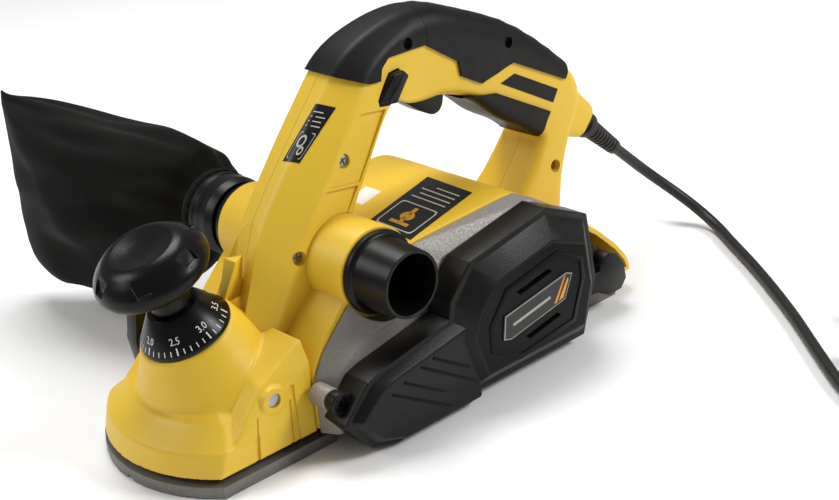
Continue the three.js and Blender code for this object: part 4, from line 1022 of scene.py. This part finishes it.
join(stripes, prism([(-1, 43.9), (1.6, 44.3), (9.6, 58.6), (8.4, 58.2)], -97.5, -97.35, orange_print))
stand_for(smooth(stripes), "machine", "black_plastic")
line_mark = prism(tilted(-19.5, 46.8, 32, 1.8, SLOT_TURN), -97.5, -97.35, silver_print,
    name="name_plate_line")
stand_for(line_mark, "machine", "black_plastic")


# ---------------------------------------------------------------- chip outlets and bag adaptor
# Black nylon tubes, moulded with a slight taper. The one on the belt side is open; the far one holds
# the dust bag's adaptor.
def duct_tube(name, profile, ease, material):
    closed = eased(profile + [profile[0], profile[1]], ease)[1:-1]
    return smooth(lathe(name, closed, (DUCT[0], 0, DUCT[1]), (0, 1, 0), material, 96))


near_tube = duct_tube("chip_outlet_tube", [
    (17, -70), (17.4, -86.3), (19.4, -86.3), (21.2, -61.5), (22.2, -60.6), (24.2, -60.4), (24.2, -56.9),
    (18.9, -56.9), (18.9, -48), (17, -48)], 0.5, satin_nylon)
stand_for(near_tube, "machine", "black_plastic", "chip_outlet")
far_tube = duct_tube("chip_outlet_far", [
    (17, 60), (17, 48), (18.9, 48), (18.9, 56.9), (24.2, 56.9), (24.2, 60.2), (21.3, 60.6), (20.3, 78),
    (17, 78)],
    0.4, satin_nylon)
stand_for(far_tube, "machine", "black_plastic", "far_chip_outlet")
adaptor = duct_tube("bag_adaptor_ring", [
    (21.6, 74), (21.6, 66), (22.9, 66), (24.6, 72), (24.6, 78), (23.8, 79), (23.8, 84), (24.6, 85),
    (24.6, 91),
    (22.4, 93), (22.4, 106), (20.6, 106), (20.6, 80), (21.2, 78.8)], 0.5, satin_nylon)
stand_for(adaptor, "dust_bag", "black_plastic", "bag_adaptor")


# ---------------------------------------------------------------- parking foot and fence knob
# Small black nylon mouldings: the foot that swings down behind the sole, its stop, and the winged
# knob that clamps the fence rod on the far side.
foot_shell = softened_copy("parking_foot", "parking_foot_block", satin_nylon, 1.0)
stand_for(foot_shell, "parking_foot", "black_plastic", "parking_foot")
stand_for(softened_copy("foot_stop", "foot_stop_peg", satin_nylon, 0.6), "machine", "black_plastic",
    "foot_stop")
stand_for(softened_copy("foot_pin", "foot_pin_rivet", zinc_steel, 0.3), "machine", "steel", "foot_pin")
stand_for(softened_copy("fence_knob", "fence_knob_wing", satin_nylon, 1.6), "fence_knob", "black_plastic",
    "fence_knob")


# ---------------------------------------------------------------- dust bag
# Bag of woven black polyester, gathered on the adaptor by an elastic hem. It hangs from the adaptor
# and droops towards the table, with soft folds. It is shaped without seams or stitches.
woven_polyester = bpy.data.materials.new("polyester_plain_weave_black")
woven_polyester.use_nodes = True
weave = woven_polyester.node_tree
weave.nodes.clear()
cloth_place = add(weave, "ShaderNodeUVMap", {"uv_map": "cloth"}).outputs[0]
THREAD_MM = 0.9  # real threads are about 0.3 mm apart; drawn three times as coarse to show
threads = [
    add(weave, "ShaderNodeTexWave", {"wave_type": "BANDS", "bands_direction": way}, {
        "Vector": cloth_place, "Scale": 1 / (THREAD_MM * MM) / 6.283, "Distortion": 1.2, "Detail": 1.0,
        "Detail Scale": 0.4})
    for way in ("X", "Y")]
crossing = add(weave, "ShaderNodeMath", {"operation": "MULTIPLY"}, {
    0: threads[0].outputs["Fac"], 1: threads[1].outputs["Fac"]})
fade = add(weave, "ShaderNodeTexNoise", inputs={"Vector": cloth_place, "Scale": 28.0, "Detail": 5.0})
tones = add(weave, "ShaderNodeMix", {"data_type": "RGBA"}, {
    0: fade.outputs["Fac"], 6: linear("080807"), 7: linear("161513")})
relief = add(weave, "ShaderNodeBump", inputs={"Height": crossing.outputs[0], "Strength": 0.7,
    "Distance": 0.00018})
wrinkles = add(weave, "ShaderNodeBump", inputs={
    "Height": fade.outputs["Fac"], "Strength": 0.5, "Distance": 0.0012, "Normal": relief.outputs[0]})
cloth_shader = add(weave, "ShaderNodeBsdfPrincipled", inputs={
    "Base Color": tones.outputs[2], "Roughness": 0.85, "Normal": wrinkles.outputs[0], "Sheen Weight": 0.06,
    "Sheen Roughness": 0.4, "Specular IOR Level": 0.12})
add(weave, "ShaderNodeOutputMaterial", inputs={"Surface": cloth_shader.outputs[0]})

# Sections from the mouth to the end seam: middle (x, y, z), half thickness, half height above and
# below, squareness and the depth of the folds.
BAG = [
    (-98.4, 90, 89.9, 23.6, 23.6, 23.6, 0, 0.3), (-98.4, 95, 89.9, 23.9, 23.9, 24, 0, 0.9),
    (-99, 100, 89.5, 27, 29, 29, 0.05, 1.6), (-101, 107, 88.5, 31.5, 37, 40, 0.1, 2.2),
    (-106, 120, 87, 35, 43, 49, 0.16, 2.6), (-112, 140, 86, 37, 48.5, 56, 0.24, 2.8),
    (-119, 165, 84, 37, 52, 61, 0.32, 3.0), (-125, 190, 83, 34, 55.5, 62, 0.4, 3.0),
    (-131, 215, 84, 27, 57.5, 60, 0.46, 2.6), (-137, 238, 86, 17, 58.5, 57, 0.52, 1.8),
    (-142, 256, 88, 5.5, 58, 54, 0.56, 0.7), (-143, 262, 88.5, 1.2, 59, 53.5, 0.6, 0.1)]
BAG_SIDES = 96


def bag_ring(row):
    x, y, z, thick, above, below, square, fold = row
    ring = []
    for i in range(BAG_SIDES):
        turn = 2 * math.pi * i / BAG_SIDES
        a, b = math.cos(turn), math.sin(turn)
        blunt = 1 / (1 + square * (1 / max(abs(a), abs(b)) - 1)) if square else 1
        wave = (math.sin(9 * turn + y * 0.021) * 0.55 + math.sin(14 * turn - y * 0.047 + 1.3) * 0.35
                + math.sin(5 * turn + y * 0.06 + 0.6) * 0.5)
        push = fold * wave
        ring.append((
            x + (thick / blunt + push) * a, y + fold * 0.8 * math.sin(7 * turn + y * 0.1),
            z + ((above if b > 0 else below) / blunt + push * 0.7) * b))
    return ring


bag_rows = through(BAG, 7)
bag_points = sum((bag_ring(row) for row in bag_rows), [])
bag_faces = loft_faces(len(bag_rows), BAG_SIDES, False)
bag_faces.append(tuple((len(bag_rows) - 1) * BAG_SIDES + i for i in range(BAG_SIDES)))
bag = new_piece("dust_bag_cloth", bag_points, bag_faces[:-1], woven_polyester)
bag.data.update()
cloth_map = bag.data.uv_layers.new(name="cloth")
around = 0.0021
for face in bag.data.polygons:
    for loop_index in face.loop_indices:
        index = bag.data.loops[loop_index].vertex_index
        row, column = divmod(index, BAG_SIDES)
        corners = [bag.data.loops[k].vertex_index % BAG_SIDES for k in face.loop_indices]
        if column == 0 and BAG_SIDES - 1 in corners:
            column = BAG_SIDES
        cloth_map.data[loop_index].uv = (column * around * 2, row * 0.0032)
for face in bag.data.polygons:
    face.use_smooth = True
wall = bag.modifiers.new("cloth", "SOLIDIFY")
wall.thickness = 0.5 * MM
wall.offset = -1
settle(bag)
hem_line = [(DUCT[0] + 24.4 * math.cos(t), 91, DUCT[1] + 24.4 * math.sin(t)) for t in
            (2 * math.pi * i / 72 for i in range(72))]
hem_points = []
for i, (hx, hy, hz) in enumerate(hem_line):
    out = Vector((hx - DUCT[0], 0, hz - DUCT[1])).normalized()
    swell = 1.5 + 0.35 * math.sin(i * 1.9)
    for k in range(8):
        turn = 2 * math.pi * k / 8
        hem_points.append(tuple(
            Vector((hx, hy, hz)) + out * swell * math.cos(turn) + Vector((0, 1, 0)) * 3.2 * math.sin(turn)))
hem = new_piece("dust_bag_elastic_hem", hem_points, loft_faces(72, 8, False, True), woven_polyester)
hem.data.uv_layers.new(name="cloth")
for face in hem.data.polygons:
    for loop_index in face.loop_indices:
        row, column = divmod(hem.data.loops[loop_index].vertex_index, 8)
        hem.data.uv_layers["cloth"].data[loop_index].uv = (row * 0.0021, column * 0.0016)
stand_for(smooth(hem, 80), "dust_bag", "bag_fabric")
stand_for(bag, "dust_bag", "bag_fabric", "dust_bag")



# ---------------------------------------------------------------- printed labels
# Thin printed polyester labels: a black ground with a rounded pictogram frame and grey bars, laid on
# the column and on the motor housing. The bars and rings are plain marks that carry no words.
label_black = surface("polyester_label_printed_black", ("131211", "1a1918"), 20, 0.35, 0.5, 0.01, 0.05)
label_white = surface("ink_label_printed_white", ("b9b6ae", "cfccc5"), 4, 0.5, 0.4, 0.005, 0.05)
label_ochre = surface("ink_label_printed_ochre", ("cf9a35", "dcab48"), 4, 0.5, 0.4, 0.005, 0.05)


def ground_of(*names):
    """A search tree over finished pieces, in millimetres."""
    points, faces = [], []
    for name in names:
        mesh = bpy.data.objects[name].data
        start = len(points)
        points += [vertex.co / MM for vertex in mesh.vertices]
        faces += [tuple(start + i for i in face.vertices) for face in mesh.polygons]
    return BVHTree.FromPolygons(points, faces)


def laid(name, outlines, corners, heading, ground, lift, material, body="machine"):
    """Thin printed shapes on a surface. Outlines are strips of (u, v) pairs inside the four corners."""
    a, b, c, d = (Vector(p) for p in corners)
    heading = Vector(heading).normalized()
    points, faces = [], []
    for left, right in outlines:
        start = len(points)
        for pair in zip(left, right):
            for u, v in pair:
                spot = (a * (1 - u) + b * u) * (1 - v) + (d * (1 - u) + c * u) * v
                hit, normal, _, _ = ground.ray_cast(spot - heading * 30, heading)
                points.append(tuple((hit if hit else spot) - heading * lift))
        for k in range(len(left) - 1):
            faces.append((start + 2 * k, start + 2 * k + 1, start + 2 * k + 3, start + 2 * k + 2))
    piece = new_piece(name, points, faces, material)
    sheet = piece.modifiers.new("film", "SOLIDIFY")
    sheet.thickness = 0.06 * MM
    sheet.offset = 0
    settle(piece)
    return stand_for(smooth(piece), body, "black_plastic")


def box_strips(u0, v0, u1, v1, count=8):
    """A filled box as strips running across it."""
    strips = []
    for k in range(count):
        low, high = v0 + (v1 - v0) * k / count, v0 + (v1 - v0) * (k + 1) / count
        across = [u0 + (u1 - u0) * i / count for i in range(count + 1)]
        strips.append(([(u, low) for u in across], [(u, high) for u in across]))
    return strips


def ring_strip(u, v, inner, outer, aspect, count=28):
    turns = [2 * math.pi * i / count for i in range(count + 1)]
    return [([(u + inner * math.cos(t), v + inner * aspect * math.sin(t)) for t in turns],
             [(u + outer * math.cos(t), v + outer * aspect * math.sin(t)) for t in turns])]


def frame_strip(u0, v0, u1, v1, line, soft, aspect):
    """A thin rounded frame."""
    loops = []
    for step in (0, line):
        box = [(u0 + step, v0 + step * aspect), (u1 - step, v0 + step * aspect),
            (u1 - step, v1 - step * aspect),
               (u0 + step, v1 - step * aspect)]
        loop = rounded(box, [soft] * 4, 5)
        loops.append(loop + loop[:1])
    return [(loops[0], loops[1])]


def label(name, corners, heading, ground, aspect, mark):
    laid(name + "_ground", box_strips(0, 0, 1, 1, 14), corners, heading, ground, 0.1, label_black)
    laid(name + "_frame", frame_strip(0.1, 0.06, 0.9, 0.52, 0.022, 0.07, aspect), corners, heading, ground,
        0.3,
         label_white)
    bars = []
    for v, length in ((0.62, 0.74), (0.7, 0.66), (0.78, 0.72), (0.86, 0.5)):
        bars += box_strips(0.12, v, 0.12 + length, v + 0.018, 2)
    laid(name + "_bars", bars, corners, heading, ground, 0.3, label_white)
    laid(name + "_mark", mark, corners, heading, ground, 0.3,
        label_ochre if "housing" in name else label_white)


column_label = [(-126.5, -16, 157), (-112.5, -16, 148.9), (-82.2, -16, 171.4), (-98, -16, 181)]
facing_out = Vector((0.62, 0.62, -0.48))
column_ground = ground_of("handle_half_belt_side")
two_rings = ring_strip(0.42, 0.36, 0.13, 0.2, 0.55) + ring_strip(0.62, 0.2, 0.08, 0.14, 0.55)
label("column_label", column_label, facing_out, column_ground, 0.6, two_rings)
housing_label = [(-70, -55, 100), (-5, -39, 100), (-3, 2, 100), (-69, -16, 100)]
housing_label = [housing_label[0], housing_label[3], housing_label[2], housing_label[1]]
housing_ground = ground_of("motor_housing_shell")
leaf = ring_strip(0.5, 0.3, 0.05, 0.13, 0.6)
leaf += box_strips(0.3, 0.14, 0.7, 0.19, 2) + box_strips(0.46, 0.16, 0.54, 0.46, 2)
label("housing_label", housing_label, (0, 0, -1), housing_ground, 0.8, leaf)
small_mark = [(-54, 5, 97), (-34, 10, 97), (-34, 24, 97), (-54, 19, 97)]
laid("housing_sticker", box_strips(0, 0, 1, 1, 8), small_mark, (0, 0, -1), housing_ground, 0.1, white_print)


# ---------------------------------------------------------------- cutter, motor and switch
# Parts that show through the sole gap, the outlets or the vents: ground drum, carbide blades, steel
# clamps, bearings, wound armature, laminated stator, nylon fan, rubber belt and brass brush holders.
drum_alloy = surface("aluminium_turned_drum", ("8f8e8b", "a5a4a0"), 3, 0.38, 0.5, 0.03, 0.08, 0.9)
carbide = surface("tungsten_carbide_ground_edge", ("76777a", "8b8c8e"), 2, 0.28, 0.25, 0.01, 0.05, 1.0)
ground_steel = surface("steel_ground_bright", ("9b9c9d", "b4b4b3"), 5, 0.26, 0.3, 0.01, 0.05, 1.0)
spring_steel = surface("steel_spring_oiled", ("5c5c5b", "72716f"), 3, 0.32, 0.3, 0.01, 0.06, 1.0)
lamination = surface("steel_laminated_stack", ("5a5b5c", "6d6e70"), 1.2, 0.5, 0.5, 0.05, 0.1, 0.85)
winding = surface("copper_wound_enamelled", ("8a3f1c", "a9562a"), 0.9, 0.36, 0.6, 0.12, 0.08, 0.8)
belt_rubber = surface("rubber_toothed_belt", ("171615", "21201e"), 3, 0.6, 0.5, 0.05, 0.08)
INSIDE = {
    "cutter_drum": drum_alloy, "blade": carbide, "blade_clamp": ground_steel, "bearing": ground_steel,
    "armature": winding, "stator": lamination, "cooling_fan": satin_nylon, "drive_belt": belt_rubber,
    "pulley": drum_alloy, "switch_body": satin_nylon, "depth_spindle": zinc_steel, "depth_nut": brass_turned,
    "depth_spring": spring_steel, "guide_screw": zinc_steel, "brush": brass_turned}
kept = [name for name in cad_nodes if name not in REPLACED]
for name in kept:
    matches = [key for key in INSIDE if key in name]
    chosen = INSIDE[max(matches, key=len)] if matches else satin_nylon
    for place in cad_nodes[name].material_slots:
        place.material = chosen
